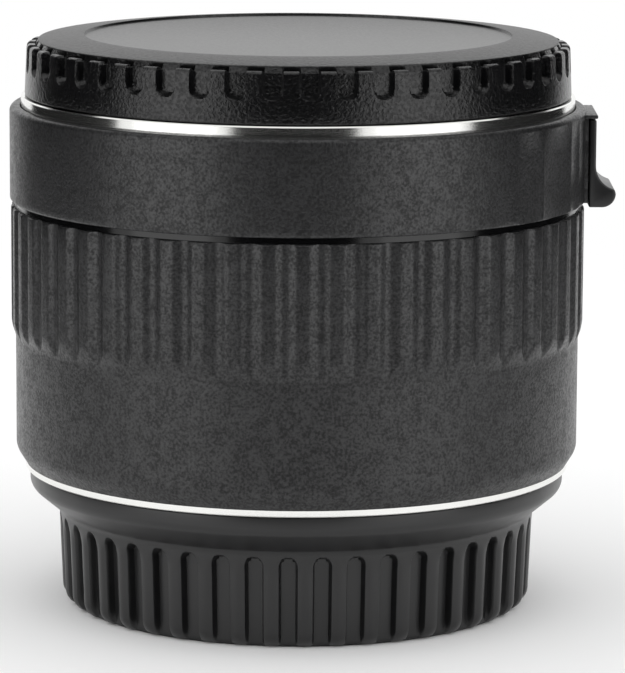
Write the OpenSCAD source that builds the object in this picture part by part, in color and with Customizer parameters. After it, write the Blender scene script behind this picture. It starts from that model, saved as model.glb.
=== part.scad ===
// Camera teleconverter with both of its caps on, standing on the rear cap with the lens side up.
// Lengths are millimetres and angles degrees. Z is the optical axis and z = 0 is the standing face.
// The release lever is at +X, the contacts at -Y and the red index dots at +Y.

/* [Barrel] */
// How far the rib crests lie inside the plain band above them
rib_step = 0.1; // [0:0.05:0.6]
// Height of the ribs above the plain lower barrel
rib_h = 0.5; // [0.3:0.05:0.8]
// Number of ribs round the barrel
rib_count = 54; // [36:1:60]
// Width of a flute between two ribs, at the crests
flute_w = 2.3; // [1.6:0.1:2.6]
// Height of the sloping lower ends of the ribs
rib_run = 1.4; // [0.8:0.1:3]
// Length of the ribbed band, slope included
rib_len = 15.4; // [12:0.1:18]
// Wall of the main barrel under the plain lower part
barrel_wall = 2; // [1.5:0.1:2.5]
// Length of the main barrel from the rear flange to the groove
barrel_len = 30.5; // [29:0.1:36]
// Height of the chamfer above the rear flange
edge_h = 1.75; // [1:0.05:3]
// How far the plain lower barrel stands outside the rear flange
edge_step = 1.1; // [0.6:0.05:1.6]
// Width of the groove between the main and the upper barrel
groove_w = 0.65; // [0.4:0.05:1.2]
// Depth of that groove below the rib crests
groove_d = 1; // [0.8:0.05:1.3]

/* [Upper barrel] */
// How far the plain band stands outside the front flange
band_lip = 1.35; // [1:0.05:2]
// Height of the band
band_len = 11.65; // [11:0.05:14]
// Rounding of the band's top edge
band_round = 0.8; // [0.4:0.1:1.2]
// Wall of the upper barrel
band_wall = 2.2; // [1.9:0.1:2.4]
// Thickness of the inner flange that carries the front mount
seat_t = 2.2; // [1.6:0.1:3]
// How far the roof over the lever stands out of the band
roof_out = 1.1; // [0.6:0.1:2]
// Thickness of the roof over the lever
roof_t = 0.85; // [0.6:0.05:1.2]

/* [Mounts] */
// Radius of the throat of the front mount
throat_r = 27; // [24:0.1:30]
// Width of the front flange round the throat
front_flange_w = 5.75; // [5.2:0.05:7]
// Thickness of the front flange
front_flange_t = 2.35; // [2:0.05:3]
// How far the front flange stands above the upper barrel
front_edge = 0.8; // [0.4:0.05:1.2]
// Reach of the inner bayonet tabs into the throat
tab_reach = 1.25; // [1:0.05:1.5]
// Thickness of a bayonet tab
tab_t = 1.7; // [1.2:0.05:2]
// Angle that one bayonet tab spans
tab_span = 56; // [44:1:58]
// Visible edge of the rear flange
rear_edge = 0.75; // [0.5:0.05:1]
// Depth of the rear mount's register inside the barrel
register_h = 1.5; // [1:0.1:2]
// How much smaller the rear mount's tube is than the throat, in radius
tube_gap = 1.6; // [1.4:0.05:2]
// Wall of the rear mount's tube
tube_wall = 1.5; // [1.2:0.1:1.8]
// Length of the tube behind the rear flange
tube_len = 5.8; // [5:0.1:8]
// Reach of a bayonet lug outside its tube
lug_reach = 1.35; // [1:0.05:1.4]
// Thickness of a bayonet lug
lug_t = 1.5; // [1:0.05:1.6]
// Angle that one bayonet lug spans
lug_span = 52; // [40:1:54]
// Distance of the rear lugs behind the flange
lug_drop = 2.2; // [2:0.1:2.6]

/* [Body cap] */
// How far the body cap's lower edge lies inside the front flange
cap_step = 0.6; // [0:0.05:1]
// Height of the body cap above the front flange
cap_h = 7; // [6:0.1:9]
// Draft of the skirt from the lower edge to the shoulder
cap_draft = 0.25; // [0:0.05:0.5]
// Wall of the skirt
cap_wall = 1.4; // [1.1:0.1:1.6]
// Thickness of the top plate
cap_top = 1.7; // [1.2:0.1:2.5]
// Width of the top ring round the sunk disc
disc_margin = 6.95; // [4:0.05:10]
// Depth of the sunk disc
disc_depth = 0.5; // [0.2:0.05:0.8]
// Fall of the top from the disc to the shoulder
cap_fall = 0.5; // [0.2:0.05:0.8]
// Number of notches round the skirt
notch_count = 48; // [30:1:56]
// Width of a notch
notch_w = 2.2; // [1.4:0.1:2.6]
// Length of a notch below the shoulder
notch_len = 3.5; // [2.5:0.1:4.5]
// Depth of a notch
notch_d = 0.75; // [0.3:0.05:0.9]

/* [Rear cap] */
// Height of the rear cap up to its rim
rear_cap_h = 16.3; // [15:0.1:20]
// How far the rim lies inside the rear flange
rim_step = 0.55; // [0:0.05:1]
// Height of the straight part of the rim
rim_h = 2; // [1:0.1:3]
// Height of the flare under the rim
flare_h = 2.9; // [2:0.1:4]
// Wall of the cup at the lugs of the rear mount
rear_cap_wall = 1.3; // [1.1:0.05:2]
// Draft of that wall down to the standing face
rear_draft = 0.45; // [0:0.05:0.6]
// Rounding of the bottom edge
foot_round = 1.9; // [1:0.1:2.5]
// Thickness of the floor
floor_t = 2.2; // [1.6:0.1:3]
// Width of the standing ring outside its shallow ring groove
sole_margin = 5.95; // [4:0.05:8]
// Width of that ring groove
sole_w = 1.6; // [0.8:0.1:3]
// Depth of that ring groove
sole_d = 0.4; // [0.2:0.05:0.8]
// Number of grip grooves
grip_count = 45; // [30:1:60]
// Width of a grip groove
grip_w = 1.75; // [1:0.05:2.2]
// Depth of a grip groove
grip_d = 0.5; // [0.2:0.05:0.6]
// Height of the round upper ends of the grip grooves
grip_top = 10.7; // [8:0.1:11]

/* [Release lever] */
// Width of the lever
lever_w = 10; // [9:0.1:14]
// Thickness of the lever's plate
lever_t = 1.1; // [0.8:0.1:1.6]
// How far the thumb rest stands out of the plate
thumb_out = 2.25; // [1.5:0.05:3.5]
// Radius of the hollow above the thumb rest
thumb_r = 2; // [1.5:0.1:3]
// Travel of the lever
lever_travel = 3; // [2.6:0.1:3.2]
// Radius of the lock pin
pin_r = 1.2; // [1:0.05:1.3]
// How far the lock pin stands out of the front flange
pin_out = 1.4; // [1:0.1:1.8]
// Wire radius of the lever's return spring
wire_r = 0.18; // [0.12:0.01:0.22]
// Turns of the return spring
spring_turns = 5; // [4:0.5:5]

/* [Optics] */
// Gap between the lens barrel and the contact block
cell_gap = 1.7; // [1:0.1:3]
// Wall of the lens barrel
cell_wall = 2; // [1.6:0.1:2.4]
// How much smaller the rear lenses are than the front ones, in radius
lens_step = 2.4; // [1.5:0.1:4]
// Width of the light stop between the cells
stop_w = 2.1; // [1.8:0.1:4]

/* [Contacts] */
// Number of contacts
contact_count = 8; // [5:1:9]
// Angle between neighbouring contacts
contact_step = 5.2; // [4.6:0.1:6]
// Distance of the contacts from the throat's wall
contact_in = 4.1; // [3.8:0.1:5]
// Radius of a contact pin
contact_r = 0.6; // [0.4:0.05:0.7]
// Travel of the contact pins
contact_travel = 0.8; // [0.4:0.05:0.9]

/* [Fits] */
// Gap between a cap and the flange it covers
cap_gap = 0.1; // [0.05:0.05:0.2]
// Radial clearance between seated round pieces
fit = 0.1; // [0.05:0.01:0.15]
// Radial clearance of sliding pieces
slip = 0.25; // [0.15:0.01:0.3]

/* [Hidden] */
$fn = 96;
eps = 0.05;
over = 1;
bevel = 0.3;

// Levels from the standing face upwards
z_rear = rear_cap_h + cap_gap;
z_barrel = z_rear + rear_edge;
z_groove = z_barrel + barrel_len;
z_band = z_groove + groove_w;
z_band_top = z_band + band_len;
z_front = z_band_top + front_edge;
z_seat = z_front - front_flange_t;
z_under = z_seat - seat_t;
z_cap = z_front + cap_gap;
z_cap_top = z_cap + cap_h;

// Radii from the throat outwards
tube_r = throat_r - tube_gap;
tube_in = tube_r - tube_wall;
front_flange_r = throat_r + front_flange_w;
band_r = front_flange_r + band_lip;
band_in = band_r - band_wall;
rib_r = band_r - rib_step;
lower_r = rib_r - rib_h;
rear_flange_r = lower_r - edge_step;
barrel_in = lower_r - barrel_wall;
groove_r = rib_r - groove_d;

// Inside of the main barrel: base, shelf and spigot
flute_d = 0.88 * rib_h;
base_gap = 0.75;
base_in = tube_r + lug_reach + base_gap;
base_t = 2.35;
z_base = z_barrel + register_h;
z_base_top = z_base + base_t;
spigot_t = 1;
spigot_in = groove_r - spigot_t;
spigot_h = 0.5;
shelf_w = 4.8;
shelf_t = 2;
shelf_in = spigot_in - shelf_w;
z_shelf = z_groove - 1.65;

// Caps
cap_r = front_flange_r - cap_step;
disc_r = cap_r - disc_margin;
well_r = tube_r + lug_reach + 0.35;
well_low_r = tube_r + 0.6;
rim_r = rear_flange_r - rim_step;
rear_wall_r = well_r + rear_cap_wall;
foot_r = rear_wall_r - rear_draft;
sole_r = foot_r - sole_margin;
grip_turn = -1.6;
notch_turn = -1.35;

// Front mount, lock pin and lever
tab_in = throat_r - tab_reach;
tab_sink = 0.3;
skirt_t = 1.6;
skirt_drop = 2;
seat_in = throat_r + skirt_t + 2 * fit;
seat_out = front_flange_r + fit;
pin_ring = throat_r + 2.2;
lever_in = band_r + 0.2;
lever_out = lever_in + lever_t;
roof_drop = 0.45;
z_roof = z_band_top - roof_drop - roof_t;
z_lever_top = z_roof - bevel;
z_lever_low = z_groove - 0.2;
tongue_w = lever_w - 1.6;
tongue_h = 2.2;
link_out = band_in - 0.5;
link_t = 0.8;
link_w = tongue_w + 0.6;
link_h = 4.6;
z_link = z_under - bevel - link_h;
z_tongue = z_link + link_h - bevel - tongue_h;
foot_t = 1;
rod_r = 0.8;
rod_sink = 1.5;
rod_y = link_w / 2 + 2.4;
rod_x = sqrt(pow(pin_ring + rod_r, 2) - pow(rod_y, 2));
ear_r = 1.7;
coil_r = rod_r + wire_r + 0.27;

// Cap tubes, contacts and cables
tube_clear = 0.45;
cap_tube_r = tab_in - tube_clear;
cap_tube_wall = 1.7;
z_cap_tube = z_front - 3.35;
cap_lug_r = throat_r - 0.4;
rear_tab_in = tube_r + 0.35;
z_tube = z_rear - tube_len;
z_lug = z_rear - lug_drop - lug_t;
lip_w = 2.3;
lip_in = tube_in - lip_w;
lip_t = 1;
baffle_t = 1;
hood_h = 1.6;
z_baffle = z_tube + 2;
contact_ring = throat_r - contact_in;
block_w = 4;
block_in = contact_ring - block_w / 2;
block_span = contact_count * contact_step + 5;
collar_r = block_in + block_w;
collar_t = 2;
pin_rise = 1.1;
collar_pin_r = contact_r + 0.3;
collar_pin_t = 0.7;
z_block_top = z_cap_tube - 0.4 - pin_rise;
z_collar = z_block_top - 5.7;
z_pin_collar = z_collar + 2.6;
pad_ring = contact_ring - 1.1;
pad_w = 2;
pad_t = 0.2;
rear_block_out = lip_in + 1.5;
board_in = base_in - 2;
board_t = 1;
z_board = z_base_top;
cable_w = 7;
cable_t = 0.2;
rear_cable_y = rear_block_out + eps;
front_cable_y = collar_r + fit;
cable_slot = [cable_w + 2 * slip, 2.4];

// Lens barrel and its seat on the web of the main barrel
bore_gap = 0.2;
front_lens_r = block_in - cell_gap - cell_wall - bore_gap;
rear_lens_r = front_lens_r - lens_step;
stop_r = rear_lens_r - stop_w;
front_bore = front_lens_r + bore_gap;
rear_bore = rear_lens_r + bore_gap;
cell_r = front_bore + cell_wall;
tail_r = rear_bore + cell_wall;
web_t = 2.5;
web_in = tail_r + fit;
flange_t = 2;
flange_out = barrel_in - 4.7;
screw_ring = (cell_r + flange_out) / 2 + 0.5;
window = [2 * (rear_lens_r - 1.6), 2 * (rear_lens_r - 4.6)];

// Rise of each lens face at its edge: positive bulges, negative is hollow, zero is flat
l1_top = 2.2;
l1_low = -2.6;
l2_top = -2;
l23 = 1.9;
l3_low = 1.8;
l4_top = -2.5;
l5_top = 2;
l56 = 2.2;
l6_low = 1;
l7_top = -1;
l7_low = 2.3;
cement = 0.03;
ring_w = 1.6;
lock_t = 1.4;

// Rear cell, from its end upwards
l7_edge = 1.6;
l6_edge = 3;
l5_edge = 1.2;
l4_edge = 3.6;
spacer_3_t = 1.4;
spacer_2_t = sag(l5_top, rear_lens_r, rear_lens_r - ring_w) + bevel;
stop_t = 2;
lock_in = 0.25;
z_cell_low = z_baffle + baffle_t + 2.9;
z_rear_lock = z_cell_low + lock_in;
z_l7 = z_rear_lock + lock_t + rise(l7_low, rear_lens_r, rear_lens_r - ring_w) + cement;
z_spacer_3 = z_l7 + l7_edge;
z_l6 = z_spacer_3 + spacer_3_t + rise(l6_low, rear_lens_r, rear_lens_r - ring_w) + cement;
z_l5 = z_l6 + l6_edge + cement;
z_spacer_2 = z_l5 + l5_edge + rise(l5_top, rear_lens_r, rear_lens_r - ring_w) + cement;
z_l4 = z_spacer_2 + spacer_2_t + cement;
z_stop = z_l4 + l4_edge;
z_web_top = z_stop + stop_t;

// Front cell: two lenses up from the stop and one down from the end, with the spacer between
l3_edge = 1.4;
l2_edge = 5.4;
l1_edge = 2.2;
seat_w = 1.2;
z_l3 = z_web_top + 3;
z_l2 = z_l3 + l3_edge + cement;
z_spacer_1 = z_l2 + l2_edge;
z_cell_top = z_seat - 4.8;
z_front_lock = z_cell_top - 2 * lock_in - lock_t;
z_l1 = z_front_lock - rise(l1_top, front_lens_r, front_lens_r - ring_w) - cement - l1_edge;
seat_3 = z_l3 - rise(l3_low, front_lens_r, front_lens_r - seat_w) - cement;

// Fasteners and marks
screw_r = 0.85;
head_r = 1.6;
head_t = 1.1;
small_r = 0.6;
small_head_r = 1;
small_head_t = 0.6;
front_screws = [50, 130, 230, 310];
front_screw_ring = (seat_in + seat_out) / 2 - 0.7;
rear_screws = [15, 105, 195, 285];
rear_screw_ring = (rear_flange_r + tube_r) / 2 + 0.6;
baffle_screws = [20, 90, 160];
baffle_screw_ring = (lip_in + tube_in) / 2;
lever_screw_y = tongue_w / 2 - 1.2;
cell_screws = [0, 120, 240];
post_screws = [60, 180, 300];
post_r = 1.5;
post_ring = min(band_in - post_r, barrel_in - head_r) - fit;
post_bite = 3.8;
tabs_at = [30, 150, 270];
lugs_at = [90, 210, 330];
pin_slot_at = -60;
pin_slot_span = 7;
dot_r = 1.1;
dot_t = 0.6;
z_rear_dot = z_barrel + edge_h + 2;
z_front_dot = z_band_top - band_round - 1.7;

// Radius of a lens face whose edge at radius r lies h below or above its vertex
function face_r(h, r) = (r * r + h * h) / (2 * abs(h));
// Depth of such a face at radius b, and its height there above its edge
function sag(h, r, b) = face_r(h, r) - sqrt(pow(face_r(h, r), 2) - b * b);
function rise(h, r, b) = abs(h) - sag(h, r, b);

// Points of an arc in a half section
function arc(x, z, r, from, to, n = 6) =
    [for (i = [0:n]) let (a = from + (to - from) * i / n) [x + r * cos(a), z + r * sin(a)]];

// Radius of a cutter whose arc is w wide and d deep
function scoop_r(w, d) = (w * w / 4 + d * d) / (2 * d);

// Full ring with a rectangular section
module ring(r_in, r_out, z0, z1) {
    rotate_extrude() translate([r_in, z0]) square([r_out - r_in, z1 - z0]);
}

// Part of a ring, centred on an angle
module sector(r_in, r_out, z0, z1, mid, span) {
    rotate([0, 0, mid - span / 2])
        rotate_extrude(angle = span) translate([r_in, z0]) square([r_out - r_in, z1 - z0]);
}

// Copies at the given angles, each pushed out to radius r
module spread(angles, r) {
    for (a = angles) rotate([0, 0, a]) translate([r, 0, 0]) children();
}

// Slot cut inwards from radius r1 to r0, with one round end at z_round and the other end at z_end
module wall_slot(r0, r1, w, z_round, z_end) {
    dir = sign(z_end - z_round);
    centre = z_round + dir * w / 2;
    translate([r0, 0, 0]) rotate([90, 0, 90]) linear_extrude(r1 - r0) union() {
        translate([0, centre]) circle(d = w);
        translate([-w / 2, min(centre, z_end)]) square([w, abs(z_end - centre)]);
    }
}

// Vertical flute with a round floor, cut into a cylinder of radius r
module scoop(r, w, d, z0, z1) {
    c = scoop_r(w, d);
    translate([r - d + c, 0, z0]) cylinder(r = c, h = z1 - z0);
}

// Countersunk screw with its head flush at z = 0 and its shank running along +Z
module sunk_screw(len) {
    cylinder(r1 = head_r, r2 = screw_r, h = head_t);
    translate([0, 0, head_t]) cylinder(r = screw_r, h = len - head_t);
}

// Pan-head screw under z = 0 with its shank running along +Z
module pan_screw(len) {
    translate([0, 0, -head_t]) cylinder(r = head_r, h = head_t);
    cylinder(r = screw_r, h = len);
}

// Lens from its lower edge at z = 0 up to its upper edge at z = t, with the rise of its two faces
module lens(r, t, top, low) {
    rotate_extrude() difference() {
        union() {
            square([r, t]);
            if (top > 0) intersection() {
                translate([0, t + top - face_r(top, r)]) circle(r = face_r(top, r), $fn = 360);
                translate([0, t - eps]) square([r, r]);
            }
            if (low > 0) intersection() {
                translate([0, face_r(low, r) - low]) circle(r = face_r(low, r), $fn = 360);
                translate([0, eps - r]) square([r, r]);
            }
        }
        if (top < 0) translate([0, t + top + face_r(top, r)]) circle(r = face_r(top, r), $fn = 360);
        if (low < 0) translate([0, -low - face_r(low, r)]) circle(r = face_r(low, r), $fn = 360);
    }
}

// Points of a helix, and the least distance between the surfaces of its turns
function helix(r, z0, z1, turns, per_turn) =
    [for (i = [0:turns * per_turn]) let (a = 360 * i / per_turn)
        [r * cos(a), r * sin(a), z0 + (z1 - z0) * i / (turns * per_turn)]];
function coil_gap(points, per_turn, wire) =
    min([for (i = [0:len(points) - per_turn - 1]) norm(points[i + per_turn] - points[i]) - 2 * wire]);

// Round wire along a helix about Z
module coil(r, z0, z1, turns, wire, per_turn = 8, sides = 6) {
    path = helix(r, z0 + wire, z1 - wire, turns, per_turn);
    last = len(path) - 1;
    points = [for (i = [0:last]) for (k = [0:sides - 1])
        let (a = 360 * i / per_turn, s = r + wire * cos(360 * k / sides))
        [s * cos(a), s * sin(a), path[i][2] + wire * sin(360 * k / sides)]];
    sides_a = [for (i = [0:last - 1]) for (k = [0:sides - 1])
        [i * sides + k, (i + 1) * sides + k, i * sides + (k + 1) % sides]];
    sides_b = [for (i = [0:last - 1]) for (k = [0:sides - 1])
        [i * sides + (k + 1) % sides, (i + 1) * sides + k, (i + 1) * sides + (k + 1) % sides]];
    ends = [
        [for (k = [0:sides - 1]) k],
        [for (k = [sides - 1:-1:0]) last * sides + k]
    ];
    polyhedron(points, concat(sides_a, sides_b, ends));
}

function contact_angles() =
    [for (i = [0:contact_count - 1]) 270 + (i - (contact_count - 1) / 2) * contact_step];

// Rear cap: a grooved cup with a flared rim, a stepped well and three inner tabs
module rear_cap() {
    z_rim = rear_cap_h - rim_h;
    z_wall = z_rim - flare_h;
    z_step = z_lug - 2 * bevel;
    draft = atan2(rear_draft, z_wall);
    rim_bevel = 0.2;
    hip_r = 0.9;
    color("#262626") {
        difference() {
            rotate_extrude() polygon(concat(
                [[0, 0], [sole_r - sole_w, 0], [sole_r - sole_w, sole_d], [sole_r, sole_d], [sole_r, 0]],
                arc(foot_r - foot_round, foot_round, foot_round, -90, 0),
                arc(rear_wall_r + hip_r, z_wall + bevel, hip_r, 180, 128, 3),
                arc(rim_r - 1, z_rim + rim_bevel, 1, -52, 0, 3),
                [[rim_r, rear_cap_h - rim_bevel], [rim_r - rim_bevel, rear_cap_h], [well_r, rear_cap_h]],
                [[well_r, z_step], [well_low_r, z_step], [well_low_r, floor_t], [0, floor_t]]
            ));
            for (i = [0:grip_count - 1]) rotate([0, 0, 360 * i / grip_count - 90 + grip_turn])
                translate([foot_r - grip_d, 0, 0]) rotate([0, draft, 0])
                    wall_slot(0, rim_r - foot_r, grip_w, grip_top, -over);
        }
        for (a = tabs_at)
            sector(rear_tab_in, well_r + eps, z_lug + lug_t + bevel, rear_cap_h - bevel, a, lug_span - 4);
    }
}

// Rear mount: flange, register and tube with three lugs and an inner lip
module rear_mount_ring() {
    register_r = barrel_in - fit;
    slot_w = 2 * (pin_r + slip);
    color("#d8d8d6") difference() {
        union() {
            rotate_extrude() polygon([
                [tube_in, z_tube], [tube_r - bevel, z_tube], [tube_r, z_tube + bevel], [tube_r, z_rear],
                [rear_flange_r - fit, z_rear], [rear_flange_r, z_rear + fit], [rear_flange_r, z_barrel],
                [register_r, z_barrel], [register_r, z_base], [tube_in, z_base],
                [tube_in, z_baffle + baffle_t + lip_t], [lip_in, z_baffle + baffle_t + lip_t],
                [lip_in, z_baffle + baffle_t], [tube_in, z_baffle + baffle_t]
            ]);
            for (a = lugs_at) sector(tube_r - eps, tube_r + lug_reach, z_lug, z_lug + lug_t, a, lug_span);
        }
        spread(rear_screws, rear_screw_ring)
            translate([0, 0, z_rear]) sunk_screw(base_t + register_h);
        sector(pin_ring - slot_w / 2, pin_ring + slot_w / 2, z_rear - over, z_rear + pin_out + bevel,
            pin_slot_at, pin_slot_span);
        translate([-cable_slot[0] / 2, -tube_in, z_baffle])
            cube([cable_slot[0], lip_w + over, baffle_t + lip_t + over]);
        spread(baffle_screws, baffle_screw_ring) translate([0, 0, z_baffle])
            cylinder(r = small_r, h = baffle_t + lip_t + over);
    }
}

module rear_mount_screws() {
    color("#b9b9b7") spread(rear_screws, rear_screw_ring)
        translate([0, 0, z_rear]) sunk_screw(base_t + register_h);
}

// Rear baffle: plate with a rectangular light window and a short hood
module rear_baffle() {
    baffle_r = tube_in - fit;
    hood_t = 1;
    hood = [window[0] + 2 * hood_t, window[1] + 2 * hood_t, baffle_t + hood_h];
    color("#1c1c1c") difference() {
        union() {
            translate([0, 0, z_baffle]) cylinder(r = baffle_r, h = baffle_t);
            translate([-hood[0] / 2, -hood[1] / 2, z_baffle]) cube(hood);
        }
        translate([-window[0] / 2, -window[1] / 2, z_baffle - over])
            cube([window[0], window[1], hood[2] + 2 * over]);
        translate([-cable_slot[0] / 2, -baffle_r - over, z_baffle - over])
            cube([cable_slot[0], baffle_r + over - rear_cable_y + slip, baffle_t + 2 * over]);
        spread(baffle_screws, baffle_screw_ring) translate([0, 0, z_baffle - over])
            cylinder(r = small_r, h = baffle_t + 2 * over);
    }
}

module rear_baffle_screws() {
    color("#2a2a2a") spread(baffle_screws, baffle_screw_ring)
        translate([0, 0, z_baffle]) {
            translate([0, 0, -small_head_t]) cylinder(r = small_head_r, h = small_head_t);
            cylinder(r = small_r, h = baffle_t + lip_t);
        }
}

// Rear contacts: an arc of plastic with flat gilt pads on its face
module rear_contact_block() {
    color("#161616")
        sector(pad_ring - pad_w, rear_block_out, z_tube + pad_t, z_baffle, 270, block_span);
}

module rear_contact_pads() {
    color("#d9b45a") for (a = contact_angles())
        sector(pad_ring - pad_w / 2, pad_ring + pad_w / 2, z_tube, z_tube + pad_t, a, 0.65 * contact_step);
}

// Main barrel: one revolved shell with ribs outside and three inner flanges
module main_barrel() {
    z_rib = z_groove - rib_len;
    web = [z_web_top - web_t, z_web_top];
    color("#2b2b2b") difference() {
        rotate_extrude() polygon([
            [barrel_in, z_barrel], [rear_flange_r, z_barrel], [lower_r, z_barrel + edge_h],
            [lower_r, z_rib], [rib_r, z_rib + rib_run], [rib_r, z_groove - bevel],
            [rib_r - bevel, z_groove], [groove_r, z_groove], [groove_r, z_band + spigot_h],
            [spigot_in, z_band + spigot_h], [spigot_in, z_shelf], [shelf_in, z_shelf],
            [shelf_in, z_shelf - shelf_t], [barrel_in, z_shelf - shelf_t], [barrel_in, web[1]],
            [web_in, web[1]], [web_in, web[0]], [barrel_in, web[0]], [barrel_in, z_base_top],
            [base_in, z_base_top], [base_in, z_base], [barrel_in, z_base]
        ]);
        for (i = [0:rib_count - 1]) rotate([0, 0, 360 * (i + 0.5) / rib_count - 90])
            scoop(rib_r, flute_w, flute_d, z_rib, z_groove + eps);
        translate([-cable_slot[0] / 2, -front_cable_y - cable_slot[1] / 2, web[0] - over])
            cube([cable_slot[0], cable_slot[1], web_t + 2 * over]);
        spread(rear_screws, rear_screw_ring)
            translate([0, 0, z_rear]) sunk_screw(base_t + register_h);
        spread(cell_screws, screw_ring) translate([0, 0, web[0] + bevel]) cylinder(r = screw_r, h = web_t);
        spread(post_screws, post_ring) translate([0, 0, z_shelf - shelf_t - over])
            cylinder(r = screw_r, h = shelf_t + 2 * over);
        translate([rod_x, rod_y, z_shelf - rod_sink]) cylinder(r = rod_r, h = 2 * rod_sink);
        rotate([0, 0, 90]) translate([lower_r - dot_t, 0, z_rear_dot])
            rotate([0, 90, 0]) cylinder(r = dot_r, h = dot_t + over);
    }
}

// Red index dots, set flush in the barrels
module rear_index_dot() {
    color("#c3161c") rotate([0, 0, 90]) translate([lower_r - dot_t, 0, z_rear_dot])
        rotate([0, 90, 0]) cylinder(r = dot_r, h = dot_t);
}

module front_index_dot() {
    color("#c3161c") rotate([0, 0, 90]) translate([band_r - dot_t, 0, z_front_dot])
        rotate([0, 90, 0]) cylinder(r = dot_r, h = dot_t);
}

// Circuit board, its chip and its two cable connectors
module circuit_board() {
    color("#1f5a38") difference() {
        sector(board_in, barrel_in - 2 * slip, z_board, z_board + board_t, 270, 210);
        spread(rear_screws, rear_screw_ring)
            translate([0, 0, z_board - over]) cylinder(r = screw_r + slip, h = board_t + 2 * over);
    }
}

module board_chip() {
    chip = [4, 5, 0.9];
    color("#151515") rotate([0, 0, 225])
        translate([(board_in + barrel_in) / 2, 0, z_board + board_t + chip[2] / 2])
            cube(chip, center = true);
}

module board_connectors() {
    shell = [2.2, 3.2, 1.2];
    color("#e6e2d6") for (side = [-1, 1]) rotate([0, 0, 270 + side * 13])
        translate([board_in + 2.4, 0, z_board + board_t + shell[2] / 2]) cube(shell, center = true);
}

// Flat cables from the board to the rear and the front contacts
module rear_flex_cable() {
    z_end = z_tube + 3 * pad_t;
    reach = 1.6;
    color("#b5692c") {
        translate([-cable_w / 2, -rear_cable_y - cable_t, z_end]) cube([cable_w, cable_t, z_board - z_end]);
        translate([-cable_w / 2, -board_in - reach, z_board - cable_t])
            cube([cable_w, board_in + reach - rear_cable_y, cable_t]);
    }
}

module front_flex_cable() {
    z_start = z_board + board_t;
    reach = 3;
    color("#b5692c") {
        translate([-cable_w / 2, -front_cable_y - cable_t, z_start])
            cube([cable_w, cable_t, z_block_top - 1.6 - z_start]);
        translate([-cable_w / 2, -board_in - reach, z_start])
            cube([cable_w, board_in + reach - front_cable_y, cable_t]);
    }
}

// Lens barrel: stepped tube with a front cell, a stop, a rear cell, a flange and a collar
module lens_barrel() {
    seat_r = front_lens_r - seat_w;
    cone_h = 0.4;
    color("#1a1a1a") difference() {
        rotate_extrude() polygon([
            [rear_bore, z_cell_low], [tail_r, z_cell_low], [tail_r, z_web_top], [flange_out, z_web_top],
            [flange_out, z_web_top + flange_t], [cell_r, z_web_top + flange_t],
            [cell_r, z_collar - collar_t], [collar_r, z_collar - collar_t], [collar_r, z_collar],
            [cell_r, z_collar], [cell_r, z_cell_top], [front_bore, z_cell_top], [front_bore, seat_3],
            [seat_r, seat_3], [seat_r, z_web_top + cone_h], [stop_r, z_web_top + cone_h], [stop_r, z_stop],
            [rear_bore, z_stop]
        ]);
        translate([-cable_slot[0] / 2, -flange_out - over, z_web_top - over])
            cube([cable_slot[0], flange_out + over - collar_r + cable_slot[1] / 2, flange_t + 2 * over]);
        spread(cell_screws, screw_ring) translate([0, 0, z_web_top - over])
            cylinder(r = screw_r, h = flange_t + 2 * over);
    }
}

module lens_barrel_screws() {
    color("#a9a9a7") spread(cell_screws, screw_ring) translate([0, 0, z_web_top + flange_t])
        rotate([180, 0, 0]) pan_screw(flange_t + web_t - 2 * bevel);
}

module lens_element_1() {
    color("#9fb7c9") translate([0, 0, z_l1]) lens(front_lens_r, l1_edge, l1_top, l1_low);
}

module lens_element_2() {
    color("#9fb7c9") translate([0, 0, z_l2]) lens(front_lens_r, l2_edge, l2_top, -l23);
}

module lens_element_3() {
    color("#9fb7c9") translate([0, 0, z_l3]) lens(front_lens_r, l3_edge, l23, l3_low);
}

module lens_element_4() {
    color("#9fb7c9") translate([0, 0, z_l4]) lens(rear_lens_r, l4_edge, l4_top, 0);
}

module lens_element_5() {
    color("#9fb7c9") translate([0, 0, z_l5]) lens(rear_lens_r, l5_edge, l5_top, l56);
}

module lens_element_6() {
    color("#9fb7c9") translate([0, 0, z_l6]) lens(rear_lens_r, l6_edge, -l56, l6_low);
}

module lens_element_7() {
    color("#9fb7c9") translate([0, 0, z_l7]) lens(rear_lens_r, l7_edge, l7_top, l7_low);
}

module front_spacer() {
    color("#202020") ring(front_lens_r - ring_w, front_bore - fit, z_spacer_1, z_l1);
}

module middle_spacer() {
    color("#202020") ring(rear_lens_r - ring_w, rear_bore - fit, z_spacer_2, z_spacer_2 + spacer_2_t);
}

module rear_spacer() {
    color("#202020") ring(rear_lens_r - ring_w, rear_bore - fit, z_spacer_3, z_spacer_3 + spacer_3_t);
}

// Two slots for a spanner, half as deep as they are high, across a ring's face at z
module spanner_slots(r, z) {
    slot = [4, 1.2, 1.4];
    for (a = [0, 180]) rotate([0, 0, a])
        translate([r - over + slot[0] / 2, 0, z]) cube(slot, center = true);
}

// Threaded locking rings with two spanner slots each
module front_retaining_ring() {
    color("#181818") difference() {
        ring(front_lens_r - ring_w, front_bore - fit, z_front_lock, z_front_lock + lock_t);
        spanner_slots(front_lens_r - ring_w, z_front_lock + lock_t);
    }
}

module rear_retaining_ring() {
    color("#181818") difference() {
        ring(rear_lens_r - ring_w, rear_bore - fit, z_rear_lock, z_rear_lock + lock_t);
        spanner_slots(rear_lens_r - ring_w, z_rear_lock);
    }
}

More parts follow.
